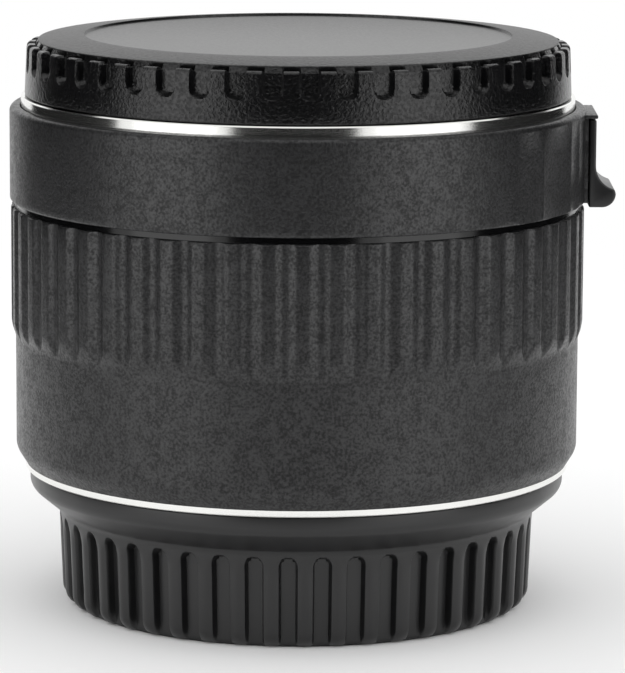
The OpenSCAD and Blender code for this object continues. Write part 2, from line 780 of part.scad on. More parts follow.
// Upper barrel: band with grip flutes and a roof beside the lever, posts and a flange inside
module upper_barrel() {
    grips = [[34.8, 4.6, 0.32], [23, 6.4, 0.42], [12.9, 2.2, 0.3]];
    color("#2b2b2b") difference() {
        union() {
            rotate_extrude() polygon(concat(
                [[groove_r + fit, z_band], [band_r - 0.25, z_band], [band_r, z_band + 0.25]],
                arc(band_r - band_round, z_band_top - band_round, band_round, 0, 90),
                [[seat_out, z_band_top], [seat_out, z_seat], [seat_in, z_seat], [seat_in, z_under]],
                [[band_in, z_under], [band_in, z_band + spigot_h + slip]],
                [[groove_r + fit, z_band + spigot_h + slip]]
            ));
            spread(post_screws, post_ring) translate([0, 0, z_shelf])
                cylinder(r = post_r, h = z_under - z_shelf + eps);
            translate([0, 0, z_roof]) linear_extrude(roof_t) polygon([
                [seat_out + 0.2, -lever_w / 2 - 1], [band_r + roof_out - 0.4, -lever_w / 2 - 1],
                [band_r + roof_out, -lever_w / 2 - 0.6], [band_r + roof_out, lever_w / 2 + 0.6],
                [band_r + roof_out - 0.4, lever_w / 2 + 1], [seat_out + 0.2, lever_w / 2 + 1]
            ]);
        }
        for (side = [-1, 1]) for (g = grips) rotate([0, 0, side * g[0]])
            scoop(band_r, g[1], g[2], z_band - 1, z_band_top - band_round - 0.2);
        translate([band_in - over, -tongue_w / 2 - slip, z_tongue - lever_travel - slip])
            cube([band_wall + 2 * over, tongue_w + 2 * slip, tongue_h + lever_travel + 2 * slip]);
        translate([pin_ring, 0, z_under - over]) cylinder(r = pin_r + slip, h = seat_t + 2 * over);
        translate([rod_x, rod_y, z_under - over]) cylinder(r = rod_r, h = 2 * over);
        spread(post_screws, post_ring) translate([0, 0, z_shelf - over])
            cylinder(r = screw_r, h = post_bite + 2 * over);
        spread(front_screws, front_screw_ring) translate([0, 0, z_under - over])
            cylinder(r = screw_r, h = seat_t + 2 * over);
        rotate([0, 0, 90]) translate([band_r - dot_t, 0, z_front_dot])
            rotate([0, 90, 0]) cylinder(r = dot_r, h = dot_t + over);
    }
}

module barrel_screws() {
    color("#a9a9a7") spread(post_screws, post_ring) translate([0, 0, z_shelf - shelf_t])
        pan_screw(shelf_t + post_bite);
}

// Front baffle: black dish round the front cell with steps against stray light
module front_baffle() {
    out = throat_r + 0.4;
    steps = 3;
    step_w = 1.3;
    color("#151515") difference() {
        union() {
            ring(front_bore - 1, out, z_cell_top, z_cell_top + 0.8);
            ring(out - 1, out, z_cell_top, z_seat - 2.2);
            for (i = [0:steps - 1]) let (r = front_bore - 1 + i * step_w)
                ring(r, r + 0.5, z_cell_top, z_cell_top + 1.1);
        }
        sector(block_in - 0.3, collar_r + 1, z_cell_top - 1, z_cell_top + 1.5, 270, block_span + 3);
    }
}

// Front contacts: bored plastic arc with sprung pins
module front_contact_block() {
    color("#161616") difference() {
        sector(block_in, collar_r, z_collar, z_block_top, 270, block_span);
        spread(contact_angles(), contact_ring) {
            translate([0, 0, z_collar]) cylinder(r = contact_r + fit, h = z_block_top - z_collar + over);
            translate([0, 0, z_collar - over])
                cylinder(r = collar_pin_r + fit, h = z_pin_collar + collar_pin_t + fit - z_collar + over);
        }
    }
}

module contact_pins() {
    z_tip = z_block_top + pin_rise;
    color("#d9b45a") spread(contact_angles(), contact_ring) rotate_extrude() polygon(concat(
        [[0, z_pin_collar], [collar_pin_r, z_pin_collar], [collar_pin_r, z_pin_collar + collar_pin_t]],
        [[contact_r, z_pin_collar + collar_pin_t]],
        arc(0, z_tip - contact_r, contact_r, 0, 90)
    ));
}

module contact_springs() {
    color("#c9c9c7") spread(contact_angles(), contact_ring)
        coil(contact_r, z_collar + fit, z_pin_collar - fit, 3, 0.12, 8, 4);
}

// Front mount: flange, throat skirt and three inner tabs
module front_mount_ring() {
    color("#d8d8d6") difference() {
        union() {
            rotate_extrude() polygon([
                [throat_r, z_seat - skirt_drop], [throat_r + skirt_t, z_seat - skirt_drop],
                [throat_r + skirt_t, z_seat], [front_flange_r, z_seat], [front_flange_r, z_front - 0.15],
                [front_flange_r - 0.15, z_front], [throat_r + 0.2, z_front], [throat_r, z_front - 0.2]
            ]);
            for (a = tabs_at)
                sector(tab_in, throat_r + eps, z_front - tab_sink - tab_t, z_front - tab_sink, a, tab_span);
        }
        spread(front_screws, front_screw_ring) translate([0, 0, z_front])
            rotate([180, 0, 0]) sunk_screw(front_flange_t + seat_t);
        translate([pin_ring, 0, z_seat - skirt_drop - over])
            cylinder(r = pin_r + slip, h = skirt_drop + front_flange_t + 2 * over);
    }
}

module front_mount_screws() {
    color("#b9b9b7") spread(front_screws, front_screw_ring) translate([0, 0, z_front])
        rotate([180, 0, 0]) sunk_screw(front_flange_t + seat_t - 0.2);
}

// Leaf springs under the tabs, which draw the lens against the flange
module bayonet_springs() {
    z_leaf = z_front - tab_sink - tab_t - lug_t - 0.4;
    color("#c4c4c2") for (a = tabs_at)
        sector(tab_in + 0.2, throat_r - fit, z_leaf, z_leaf + 0.3, a, tab_span - 12);
}

// Release lever: plate outside the band, thumb rest at its foot and a tongue through the wall
module release_lever() {
    tip_x = lever_out + thumb_out;
    tip_r = 1.5;
    hollow_x = lever_out + thumb_r;
    z_hollow = z_lever_low + 4.45;
    color("#232323") difference() {
        union() {
            translate([0, lever_w / 2, 0]) rotate([90, 0, 0]) linear_extrude(lever_w) polygon(concat(
                [[lever_in, z_lever_top], [lever_in, z_lever_low]],
                arc(tip_x - tip_r, z_lever_low + tip_r, tip_r, -90, 10),
                arc(hollow_x, z_hollow, thumb_r, 234, 180),
                [[lever_out, z_lever_top - 0.3], [lever_out - 0.3, z_lever_top]]
            ));
            translate([link_out, -tongue_w / 2, z_tongue])
                cube([lever_in + eps - link_out, tongue_w, tongue_h]);
        }
        for (side = [-1, 1]) translate([link_out - 1, side * lever_screw_y, z_tongue + tongue_h / 2])
            rotate([0, 90, 0]) cylinder(r = small_r, h = 3);
    }
}

// Link: bent plate that joins the lever, the lock pin and the guide rod
module lever_link() {
    color("#b4b4b0") difference() {
        union() {
            translate([link_out - link_t, -link_w / 2, z_link]) cube([link_t, link_w, link_h]);
            translate([pin_ring - pin_r - 0.3, -link_w / 2, z_link])
                cube([link_out - pin_ring + pin_r + 0.3, link_w, foot_t]);
            translate([rod_x, rod_y, z_link]) cylinder(r = ear_r, h = foot_t);
            translate([rod_x - ear_r, 0, z_link]) cube([2 * ear_r - 0.6, rod_y, foot_t]);
        }
        translate([pin_ring, 0, z_link - 1]) cylinder(r = pin_r * 0.6, h = 4);
        translate([rod_x, rod_y, z_link - 1]) cylinder(r = rod_r + fit * 0.8, h = 4);
        for (side = [-1, 1])
            translate([link_out - 2, side * lever_screw_y, z_tongue + tongue_h / 2])
                rotate([0, 90, 0]) cylinder(r = small_r, h = 3);
    }
}

module lever_screws() {
    color("#a9a9a7") for (side = [-1, 1])
        translate([link_out - link_t, side * lever_screw_y, z_tongue + tongue_h / 2])
            rotate([0, 90, 0]) {
                translate([0, 0, -small_head_t]) cylinder(r = small_head_r, h = small_head_t);
                cylinder(r = small_r, h = link_t + 1.8);
            }
}

module lock_pin() {
    z_tip = z_front + pin_out;
    color("#cfcfcb") translate([pin_ring, 0, 0]) rotate_extrude() polygon([
        [0, z_link], [pin_r * 0.6, z_link], [pin_r * 0.6, z_link + foot_t], [pin_r, z_link + foot_t],
        [pin_r, z_tip - 0.35], [pin_r - 0.35, z_tip], [0, z_tip]
    ]);
}

module guide_rod() {
    z_low = z_shelf - rod_sink;
    z_top = z_seat - seat_t + over;
    color("#b9b9b7") translate([rod_x, rod_y, z_low]) cylinder(r = rod_r, h = z_top - z_low);
}

module lever_spring() {
    ends = [z_shelf + fit, z_link - fit];
    color("#c9c9c7") translate([rod_x, rod_y, 0]) coil(coil_r, ends[0], ends[1], spring_turns, wire_r);
    echo(lever_spring_gap = coil_gap(helix(coil_r, ends[0], ends[1], spring_turns, 8), 8, wire_r));
}

// Body cap: notched skirt, sunk top and a bayonet tube with three lugs
module body_cap() {
    shoulder_r = cap_r - cap_draft;
    z_edge = z_cap_top - cap_fall;
    z_land = z_edge - 0.55;
    edge_r = shoulder_r - 0.9;
    z_in = z_cap_top - disc_depth - cap_top;
    tube_in = cap_tube_r - cap_tube_wall;
    color("#2a2a2a") {
        difference() {
            rotate_extrude() polygon(concat(
                [[0, z_cap_top - disc_depth], [disc_r - 0.3, z_cap_top - disc_depth]],
                [[disc_r, z_cap_top - 0.1], [disc_r + 0.3, z_cap_top]],
                arc(edge_r - 0.4, z_edge - 0.4, 0.4, 80, 0, 3),
                [[edge_r, z_land - 0.25], [edge_r + 0.25, z_land]],
                arc(shoulder_r - 0.6, z_land - 0.6, 0.6, 80, 0, 4),
                [[cap_r, z_cap], [cap_r - cap_wall, z_cap], [cap_r - cap_wall, z_in]],
                [[cap_tube_r, z_in], [cap_tube_r, z_cap_tube], [tube_in, z_cap_tube], [tube_in, z_in]],
                [[0, z_in]]
            ));
            for (i = [0:notch_count - 1]) rotate([0, 0, 360 * (i + 0.5) / notch_count - 90 + notch_turn])
                wall_slot(shoulder_r - notch_d, cap_r + 1, notch_w, z_land - notch_len + 0.4, z_land + 0.2);
        }
        for (a = lugs_at)
            sector(cap_tube_r - eps, cap_lug_r, z_cap_tube, z_cap_tube + lug_t, a, lug_span - 2);
    }
}

rear_cap();
rear_mount_ring();
rear_mount_screws();
rear_baffle();
rear_baffle_screws();
rear_contact_block();
rear_contact_pads();
main_barrel();
rear_index_dot();
circuit_board();
board_chip();
board_connectors();
rear_flex_cable();
front_flex_cable();
lens_barrel();
lens_barrel_screws();
lens_element_1();
lens_element_2();
lens_element_3();
lens_element_4();
lens_element_5();
lens_element_6();
lens_element_7();
front_spacer();
middle_spacer();
rear_spacer();
front_retaining_ring();
rear_retaining_ring();
upper_barrel();
barrel_screws();
front_index_dot();
front_baffle();
front_contact_block();
contact_pins();
contact_springs();
front_mount_ring();
front_mount_screws();
bayonet_springs();
release_lever();
lever_link();
lever_screws();
lock_pin();
guide_rod();
lever_spring();
body_cap();
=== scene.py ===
"""Looks of a capped camera teleconverter: finishes for its CAD frame, finer outer shells and a studio."""

import math

import bmesh
import bpy
from bpy.props import FloatProperty, FloatVectorProperty, IntProperty, PointerProperty
from mathutils import Matrix, Vector


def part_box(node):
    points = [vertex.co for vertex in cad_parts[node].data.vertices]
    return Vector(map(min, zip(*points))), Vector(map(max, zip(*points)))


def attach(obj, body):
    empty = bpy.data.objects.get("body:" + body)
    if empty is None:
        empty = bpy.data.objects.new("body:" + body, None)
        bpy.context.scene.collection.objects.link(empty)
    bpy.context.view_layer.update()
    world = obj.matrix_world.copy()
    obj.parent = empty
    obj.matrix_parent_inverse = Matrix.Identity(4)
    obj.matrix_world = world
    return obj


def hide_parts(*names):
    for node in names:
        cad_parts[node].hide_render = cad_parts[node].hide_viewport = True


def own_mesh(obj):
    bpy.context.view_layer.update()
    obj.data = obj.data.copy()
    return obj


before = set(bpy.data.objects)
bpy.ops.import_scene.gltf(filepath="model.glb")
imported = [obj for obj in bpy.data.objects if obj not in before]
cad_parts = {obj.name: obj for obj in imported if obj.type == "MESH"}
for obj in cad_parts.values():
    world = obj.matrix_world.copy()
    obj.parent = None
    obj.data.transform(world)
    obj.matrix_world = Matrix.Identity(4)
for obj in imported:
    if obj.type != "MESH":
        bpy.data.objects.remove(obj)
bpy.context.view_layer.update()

bl_info = {
    "name": "Camera Teleconverter",
    "version": (1, 0, 0),
    "blender": (4, 5, 0),
    "location": "View3D > Sidebar > Teleconverter",
    "description": "Builds the looks of a capped camera teleconverter round its CAD frame",
    "category": "Add Mesh",
}

MM = 0.001
MERGE = 0.001 * MM
PHOTO_SIZE = (625, 673)
# Heights of the lever's window and radius of the contacts' arc, in millimetres
WINDOW_LOW, WINDOW_HIGH = 50.15, 55.85
CONTACT_RING = 22.9


def linear(hex_colour):
    """Linear RGBA of an sRGB hex colour."""
    channels = [int(hex_colour[i : i + 2], 16) / 255 for i in (1, 3, 5)]
    return [c / 12.92 if c <= 0.04045 else ((c + 0.055) / 1.055) ** 2.4 for c in channels] + [1.0]


def colour(label, text, hex_colour):
    """A colour property with an sRGB hex default."""
    return FloatVectorProperty(
        name=label, description=text, subtype="COLOR", size=4, min=0, max=1, default=linear(hex_colour)
    )


def length(label, text, millimetres):
    """A length property with its default in millimetres."""
    return FloatProperty(
        name=label, description=text, subtype="DISTANCE", unit="LENGTH", default=millimetres * MM
    )


def angle(label, text, degrees):
    """An angle property with its default in degrees."""
    return FloatProperty(name=label, description=text, subtype="ANGLE", default=math.radians(degrees))


class FinishSettings(bpy.types.PropertyGroup):
    """Colours and grain sizes of the finishes."""

    lacquer: colour("Lacquer", "Textured lacquer of the two barrels", "#232324")
    lacquer_pit: colour("Lacquer pits", "Dark pits between the lacquer's grains", "#0d0d0e")
    grit: length("Lacquer grit", "Width of a grain of the lacquer", 0.32)
    cap_plastic: colour("Body cap", "Grained plastic of the body cap", "#070708")
    grain: length("Leather grain", "Width of a wrinkle of the body cap's grain", 0.38)
    satin_plastic: colour("Rear cap", "Satin plastic of the rear cap", "#0e0e0f")
    lever_plastic: colour("Lever", "Satin plastic of the release lever", "#141415")
    chrome: colour("Mounts", "Plated metal of the bayonet mounts", "#f0f0ed")
    turning: length("Turning marks", "Spacing of the turning marks on the mounts", 0.12)


class BodyCapSettings(bpy.types.PropertyGroup):
    """Grip notches of the body cap."""

    notches: IntProperty(name="Notches", description="Grip notches round the skirt", default=48, min=3)
    turn: angle("Turn", "Bearing of the notches", -87.6)
    notch_width: length("Notch width", "Width of a notch", 2.2)
    notch_depth: length("Notch depth", "Depth of a notch under the shoulder", 1.0)
    notch_length: length("Notch length", "From the land tops to the round end of a notch", 3.1)
    softness: length("Edge softness", "Width of the rounded notch walls", 0.3)
    swell: length("Swell", "How far the moulded skirt stands out past its plain solid", 0.15)


class RearCapSettings(bpy.types.PropertyGroup):
    """Grip grooves of the rear cap."""

    grooves: IntProperty(name="Grooves", description="Grip grooves round the wall", default=45, min=3)
    turn: angle("Turn", "Bearing of the grooves", -91.75)
    groove_width: length("Groove width", "Width of a groove", 1.93)
    groove_depth: length("Groove depth", "Depth of a groove", 1.15)
    crown: length("Crown", "Rise of a land's middle above its edges", 0.3)
    groove_top: length("Groove top", "Height of the round upper end of a groove", 10.7)
    softness: length("Edge softness", "Width of the rounded groove walls", 0.26)


class BarrelSettings(bpy.types.PropertyGroup):
    """Grip flutes of the two barrels."""

    flutes: IntProperty(name="Flutes", description="Flutes round the ribbed grip", default=54, min=3)
    turn: angle("Turn", "Bearing of the flutes", -85.52)
    flute_width: length("Flute width", "Width of a flute", 2.3)
    flute_depth: length("Flute depth", "Depth of a flute", 0.44)
    edge: length("Edge rounding", "Rounding of the barrels' turned edges", 0.3)


class LeverSettings(bpy.types.PropertyGroup):
    """Form of the release lever."""

    hollow: length("Thumb hollow", "Radius of the hollow above the toe", 2.9)
    toe: length("Toe", "Radius of the toe", 1.6)
    edge: length("Edge rounding", "Rounding of the lever's edges", 0.22)


class StageSettings(bpy.types.PropertyGroup):
    """Camera and light of the studio."""

    distance: length("Camera distance", "From the optical axis to the camera", 510)
    height: length("Camera height", "Above the standing face", 119.2)
    pitch: angle("Pitch", "Downward tilt", 9.75)
    roll: angle("Roll", "Turn about the view", 0.29)
    focal: FloatProperty(name="Focal length", description="In pixels of the photograph's frame", default=4332)
    centre_x: FloatProperty(name="Centre", description="Pixel column of the optical axis", default=296.9)
    lamp_power: FloatProperty(
        name="Lamp power", description="Power of each soft box", unit="POWER", default=1.3
    )
    flag_reach: length("Flag distance", "From the optical axis to the dark flags", 900)


def add(tree, kind, inputs=None, **settings):
    """Adds a node, sets its properties, and sets or links its inputs."""
    made = tree.nodes.new(kind)
    for key, value in settings.items():
        setattr(made, key, value)
    for key, value in (inputs or {}).items():
        if isinstance(value, bpy.types.NodeSocket):
            tree.links.new(value, made.inputs[key])
        else:
            made.inputs[key].default_value = value
    return made


def surface(name):
    """A new material with its tree, its shader and its Object coordinates."""
    material = bpy.data.materials.new(name)
    material.use_nodes = True
    tree = material.node_tree
    shader = tree.nodes["Principled BSDF"]
    return material, tree, shader, add(tree, "ShaderNodeTexCoord").outputs["Object"]


def textured_lacquer(finish):
    """Sprayed textured lacquer on moulded polycarbonate: a dull skin of fine grains with dark pits."""
    material, tree, shader, place = surface("textured_lacquer")
    grit = add(
        tree,
        "ShaderNodeTexNoise",
        {"Vector": place, "Scale": 1 / finish.grit, "Detail": 2.0, "Roughness": 0.6},
    ).outputs["Fac"]
    blotch = add(
        tree,
        "ShaderNodeTexNoise",
        {"Vector": place, "Scale": 0.2 / finish.grit, "Detail": 2.0, "Roughness": 0.6},
    ).outputs["Fac"]
    cover = add(tree, "ShaderNodeMath", {0: blotch, 1: 0.4, 2: grit}, operation="MULTIPLY_ADD").outputs[0]
    skin = add(
        tree,
        "ShaderNodeMapRange",
        {"Value": cover, "From Min": 0.5, "From Max": 0.88},
        interpolation_type="SMOOTHSTEP",
    ).outputs["Result"]
    mix = add(
        tree,
        "ShaderNodeMix",
        {"Factor": skin, "A": finish.lacquer_pit, "B": finish.lacquer},
        data_type="RGBA",
    )
    tree.links.new(mix.outputs["Result"], shader.inputs["Base Color"])
    rough = add(tree, "ShaderNodeMapRange", {"Value": skin, "To Min": 0.44, "To Max": 0.29})
    tree.links.new(rough.outputs["Result"], shader.inputs["Roughness"])
    gloss = add(tree, "ShaderNodeMapRange", {"Value": skin, "To Min": 0.36, "To Max": 0.58})
    tree.links.new(gloss.outputs["Result"], shader.inputs["Specular IOR Level"])
    bump = add(tree, "ShaderNodeBump", {"Height": cover, "Strength": 1.0, "Distance": 0.12 * finish.grit})
    tree.links.new(bump.outputs["Normal"], shader.inputs["Normal"])
    return material


def leather_grain(finish, name, roughness, relief):
    """ABS moulded in a leather-grained tool: near black and fairly glossy, broken up by soft wrinkles.

    The relief is the height of the wrinkles in millimetres.
    """
    material, tree, shader, place = surface(name)
    wrinkle = add(
        tree,
        "ShaderNodeTexNoise",
        {"Vector": place, "Scale": 1 / finish.grain, "Detail": 2.0, "Roughness": 0.5, "Distortion": 0.4},
    ).outputs["Fac"]
    sheen = add(
        tree,
        "ShaderNodeMapRange",
        {"Value": wrinkle, "From Min": 0.35, "From Max": 0.65, "To Min": 0.32, "To Max": 0.62},
    )
    tree.links.new(sheen.outputs["Result"], shader.inputs["Specular IOR Level"])
    shader.inputs["Base Color"].default_value = finish.cap_plastic
    shader.inputs["Roughness"].default_value = roughness
    bump = add(tree, "ShaderNodeBump", {"Height": wrinkle, "Strength": 1.0, "Distance": relief * MM})
    tree.links.new(bump.outputs["Normal"], shader.inputs["Normal"])
    return material


def satin_moulding(name, tint):
    """Satin moulded plastic: a smooth, slightly uneven sheen."""
    material, tree, shader, place = surface(name)
    patch, spark = 5.5556 * MM, 0.18 * MM
    cloud = add(
        tree, "ShaderNodeTexNoise", {"Vector": place, "Scale": 1 / patch, "Detail": 4.0}
    ).outputs["Fac"]
    fine = add(
        tree, "ShaderNodeTexNoise", {"Vector": place, "Scale": 1 / spark, "Detail": 1.0}
    ).outputs["Fac"]
    rough = add(
        tree,
        "ShaderNodeMapRange",
        {"Value": cloud, "From Min": 0.3, "From Max": 0.7, "To Min": 0.3, "To Max": 0.38},
    )
    tree.links.new(rough.outputs["Result"], shader.inputs["Roughness"])
    shader.inputs["Base Color"].default_value = tint
    shader.inputs["Specular IOR Level"].default_value = 0.6
    bump = add(tree, "ShaderNodeBump", {"Height": fine, "Strength": 0.25, "Distance": 0.01 * MM})
    tree.links.new(bump.outputs["Normal"], shader.inputs["Normal"])
    return material


def turned_chrome(finish):
    """Chrome-plated brass, turned: bright metal with fine circular tool marks.

    Real marks lie closer than the render can show, so they are drawn coarser.
    """
    material, tree, shader, place = surface("turned_chrome")
    axes = add(tree, "ShaderNodeSeparateXYZ", {"Vector": place})
    flat = add(tree, "ShaderNodeCombineXYZ", {"X": axes.outputs["X"], "Y": axes.outputs["Y"]})
    reach = add(tree, "ShaderNodeVectorMath", {0: flat.outputs[0]}, operation="LENGTH").outputs["Value"]
    along = add(tree, "ShaderNodeMath", {0: reach, 1: axes.outputs["Z"]}, operation="ADD").outputs[0]
    marks = add(
        tree,
        "ShaderNodeTexNoise",
        {"W": along, "Scale": 1 / finish.turning, "Detail": 2.0},
        noise_dimensions="1D",
    ).outputs["Fac"]
    rough = add(tree, "ShaderNodeMapRange", {"Value": marks, "To Min": 0.08, "To Max": 0.2}).outputs["Result"]
    tree.links.new(rough, shader.inputs["Roughness"])
    shader.inputs["Base Color"].default_value = finish.chrome
    shader.inputs["Metallic"].default_value = 1.0
    bump = add(tree, "ShaderNodeBump", {"Height": marks, "Strength": 0.5, "Distance": 0.012 * MM})
    tree.links.new(bump.outputs["Normal"], shader.inputs["Normal"])
    return material


def plain_finish(name, hex_colour, roughness, metallic=0.0, patch=2.0, spread=0.15):
    """A finish whose sheen varies softly, in patches of a size in millimetres."""
    material, tree, shader, place = surface(name)
    cloud = add(
        tree, "ShaderNodeTexNoise", {"Vector": place, "Scale": 1 / (patch * MM), "Detail": 3.0}
    ).outputs["Fac"]
    rough = add(
        tree,
        "ShaderNodeMapRange",
        {"Value": cloud, "To Min": roughness * (1 - spread), "To Max": min(1.0, roughness * (1 + spread))},
    )
    tree.links.new(rough.outputs["Result"], shader.inputs["Roughness"])
    shader.inputs["Base Color"].default_value = linear(hex_colour)
    shader.inputs["Metallic"].default_value = metallic
    return material


def coated_glass():
    """Optical glass with a pale green anti-reflection coat: clear, smooth, with faint tinted glints."""
    material, tree, shader, place = surface("coated_glass")
    haze = add(
        tree, "ShaderNodeTexNoise", {"Vector": place, "Scale": 1 / (3 * MM), "Detail": 2.0}
    ).outputs["Fac"]
    rough = add(tree, "ShaderNodeMapRange", {"Value": haze, "To Min": 0.0, "To Max": 0.02}).outputs["Result"]
    tree.links.new(rough, shader.inputs["Roughness"])
    shader.inputs["Base Color"].default_value = linear("#eef7f2")
    shader.inputs["Transmission Weight"].default_value = 1.0
    shader.inputs["IOR"].default_value = 1.6
    return material


def dress(material, *nodes):
    """Gives CAD nodes one material."""
    for name in nodes:
        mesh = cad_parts[name].data
        mesh.materials.clear()
        mesh.materials.append(material)


def smooth(share):
    """Smooth step from 0 to 1."""
    share = min(1.0, max(0.0, share))
    return share * share * (3 - 2 * share)


def spin(bm, geom, sweep, steps, climb=0.0, copies=False):
    """Spins geometry about the optical axis, rising by climb at each step, or copies it round."""
    return bmesh.ops.spin(
        bm,
        geom=geom,
        cent=(0, 0, 0),
        axis=(0, 0, 1),
        dvec=(0, 0, climb),
        angle=sweep,
        steps=steps,
        use_merge=False,
        use_duplicate=copies,
    )["geom_last"]


def rounded(bm, geom, radius, affect="EDGES", segments=4, clamp=False):
    """Rounds edges or corners by a radius in metres."""
    bmesh.ops.bevel(
        bm,
        geom=geom,
        offset=radius,
        offset_type="OFFSET",
        segments=segments,
        profile=0.5,
        affect=affect,
        clamp_overlap=clamp,
        material=-1,
    )


def turned(outline, sweep, steps, rows=()):
    """Spins an outline of (radius, height, corner rounding), in millimetres, through an angle.

    An outline that starts on the axis stays open there. Each of rows splits the edges outside a radius
    and between two heights into shorter ones.
    """
    bm = bmesh.new()
    corners = [bm.verts.new((r * MM, 0, z * MM)) for r, z, _ in outline]
    closing = [] if outline[0][0] == 0 else corners[:1]
    for pair in zip(corners, corners[1:] + closing):
        bm.edges.new(pair)
    for corner, (_, _, rounding) in zip(corners, outline):
        if rounding:
            rounded(bm, [corner], rounding * MM, "VERTICES", 4 if rounding < 0.5 else 9)
    for inner, low, high, size in rows:
        for edge in bm.edges[:]:
            inside = all(v.co.x > inner * MM and low <= v.co.z / MM + 1e-4 <= high for v in edge.verts)
            cuts = int(edge.calc_length() / (size * MM))
            if inside and cuts:
                bmesh.ops.subdivide_edges(bm, edges=[edge], cuts=cuts)
    spin(bm, bm.verts[:] + bm.edges[:], sweep, steps)
    return bm


def repeat(bm, count):
    """Copies one pitch of a shell round the whole turn and joins the copies."""
    pitch = 2 * math.pi / count
    spin(bm, bm.verts[:] + bm.edges[:] + bm.faces[:], 2 * math.pi - pitch, count - 1, copies=True)
    bmesh.ops.remove_doubles(bm, verts=bm.verts[:], dist=MERGE)


def stops(edge, soft):
    """Columns of one pitch, from slot centre to slot centre, gathered at the slot's walls."""
    half = [0, 0.5 * edge, edge - 0.9 * soft]
    half += [edge + share * soft for share in (-0.5, -0.25, 0, 0.25, 0.5, 0.9)]
    half += [half[-1] + share * (0.5 - half[-1]) for share in (0.35, 0.7)]
    return half + [0.5] + [1 - share for share in reversed(half)]


def gather(bm, pitch, columns, turn):
    """Moves the columns of one pitch to where its slot needs them."""
    for vert in bm.verts:
        reach = math.hypot(vert.co.x, vert.co.y)
        column = round(math.atan2(vert.co.y, vert.co.x) / pitch * (len(columns) - 1))
        bearing = turn + columns[column] * pitch
        vert.co.x, vert.co.y = reach * math.cos(bearing), reach * math.sin(bearing)


def wall(bm, count, turn, inner, low, high):
    """Outer vertices of a shell with their radius, height and distance from the nearest slot.

    All are in millimetres; the turn is the bearing of the first slot.
    """
    pitch = 2 * math.pi / count
    for vert in bm.verts:
        reach, z = math.hypot(vert.co.x, vert.co.y) / MM, vert.co.z / MM
        if reach > inner and low < z < high:
            bearing = math.atan2(vert.co.y, vert.co.x) - turn
            yield vert, reach, z, (bearing - round(bearing / pitch) * pitch) * reach


def slot_share(across, past, width, soft):
    """How deep a point lies in a slot with one round end: 0 outside, 1 on its floor."""
    return smooth((width / 2 - math.hypot(across, max(past, 0))) / soft + 0.5)


def draw_in(vert, reach, floor, share):
    """Pulls a vertex in towards a floor radius; a little of its own radius stays, so no face closes up."""
    inward = 0.98 * share * max(0.0, reach - floor)
    vert.co.x *= (reach - inward) / reach
    vert.co.y *= (reach - inward) / reach


def meshed(bm, name):
    """A new mesh from a bmesh, which is used up."""
    mesh = bpy.data.meshes.new(name)
    bm.to_mesh(mesh)
    bm.free()
    return mesh


def placed(name, data):
    """A new object in the scene."""
    made = bpy.data.objects.new(name, data)
    bpy.context.collection.objects.link(made)
    return made


def join(bm, part):
    """Moves one bmesh into another."""
    mesh = meshed(part, "part")
    bm.from_mesh(mesh)
    bpy.data.meshes.remove(mesh)


def block(bm, low, high, rounding):
    """Adds a box with rounded edges between two corners, in millimetres."""
    part = bmesh.new()
    size = [(b - a) * MM for a, b in zip(low, high)]
    middle = [(a + b) / 2 * MM for a, b in zip(low, high)]
    bmesh.ops.create_cube(part, size=1, matrix=Matrix.Translation(middle) @ Matrix.Diagonal((*size, 1)))
    rounded(part, part.edges[:], rounding * MM)
    join(bm, part)


def sectors(bm, inner, outer, low, high, middle, span):
    """Adds three closed sectors of a ring, in millimetres and degrees, the first at the middle bearing."""
    part = bmesh.new()
    start = math.radians(middle - span / 2)
    spot = Vector((math.cos(start), math.sin(start), 0))
    ends = [
        part.verts.new((spot * r + Vector((0, 0, z))) * MM)
        for r, z in ((inner, low), (outer, low), (outer, high), (inner, high))
    ]
    ring = [part.edges.new(pair) for pair in zip(ends, ends[1:] + ends[:1])]
    spin(part, ends + ring, math.radians(span), int(span))
    bmesh.ops.holes_fill(part, edges=part.edges[:], sides=4)
    spin(part, part.verts[:] + part.edges[:] + part.faces[:], math.radians(240), 2, copies=True)
    join(bm, part)


def coil(bm, spot, radius, wire, rise, turns):
    """Adds a coil spring of round wire with closed ends, in millimetres, standing on a spot."""
    part = bmesh.new()
    sides, steps = 10, 20
    bmesh.ops.create_circle(
        part,
        segments=sides,
        radius=wire * MM,
        matrix=Matrix.Translation((radius * MM, 0, wire * MM)) @ Matrix.Rotation(math.pi / 2, 4, "X"),
    )
    closed = 2.1 * wire
    end = part.verts[:] + part.edges[:]
    for count, climb in ((1, closed), (turns, rise - 2 * wire - 2 * closed), (1, closed)):
        end = spin(part, end, 2 * math.pi * count, steps * count, climb * MM / (steps * count))
    bmesh.ops.holes_fill(part, edges=part.edges[:], sides=sides)
    bmesh.ops.translate(part, verts=part.verts[:], vec=[c * MM for c in spot])
    join(bm, part)


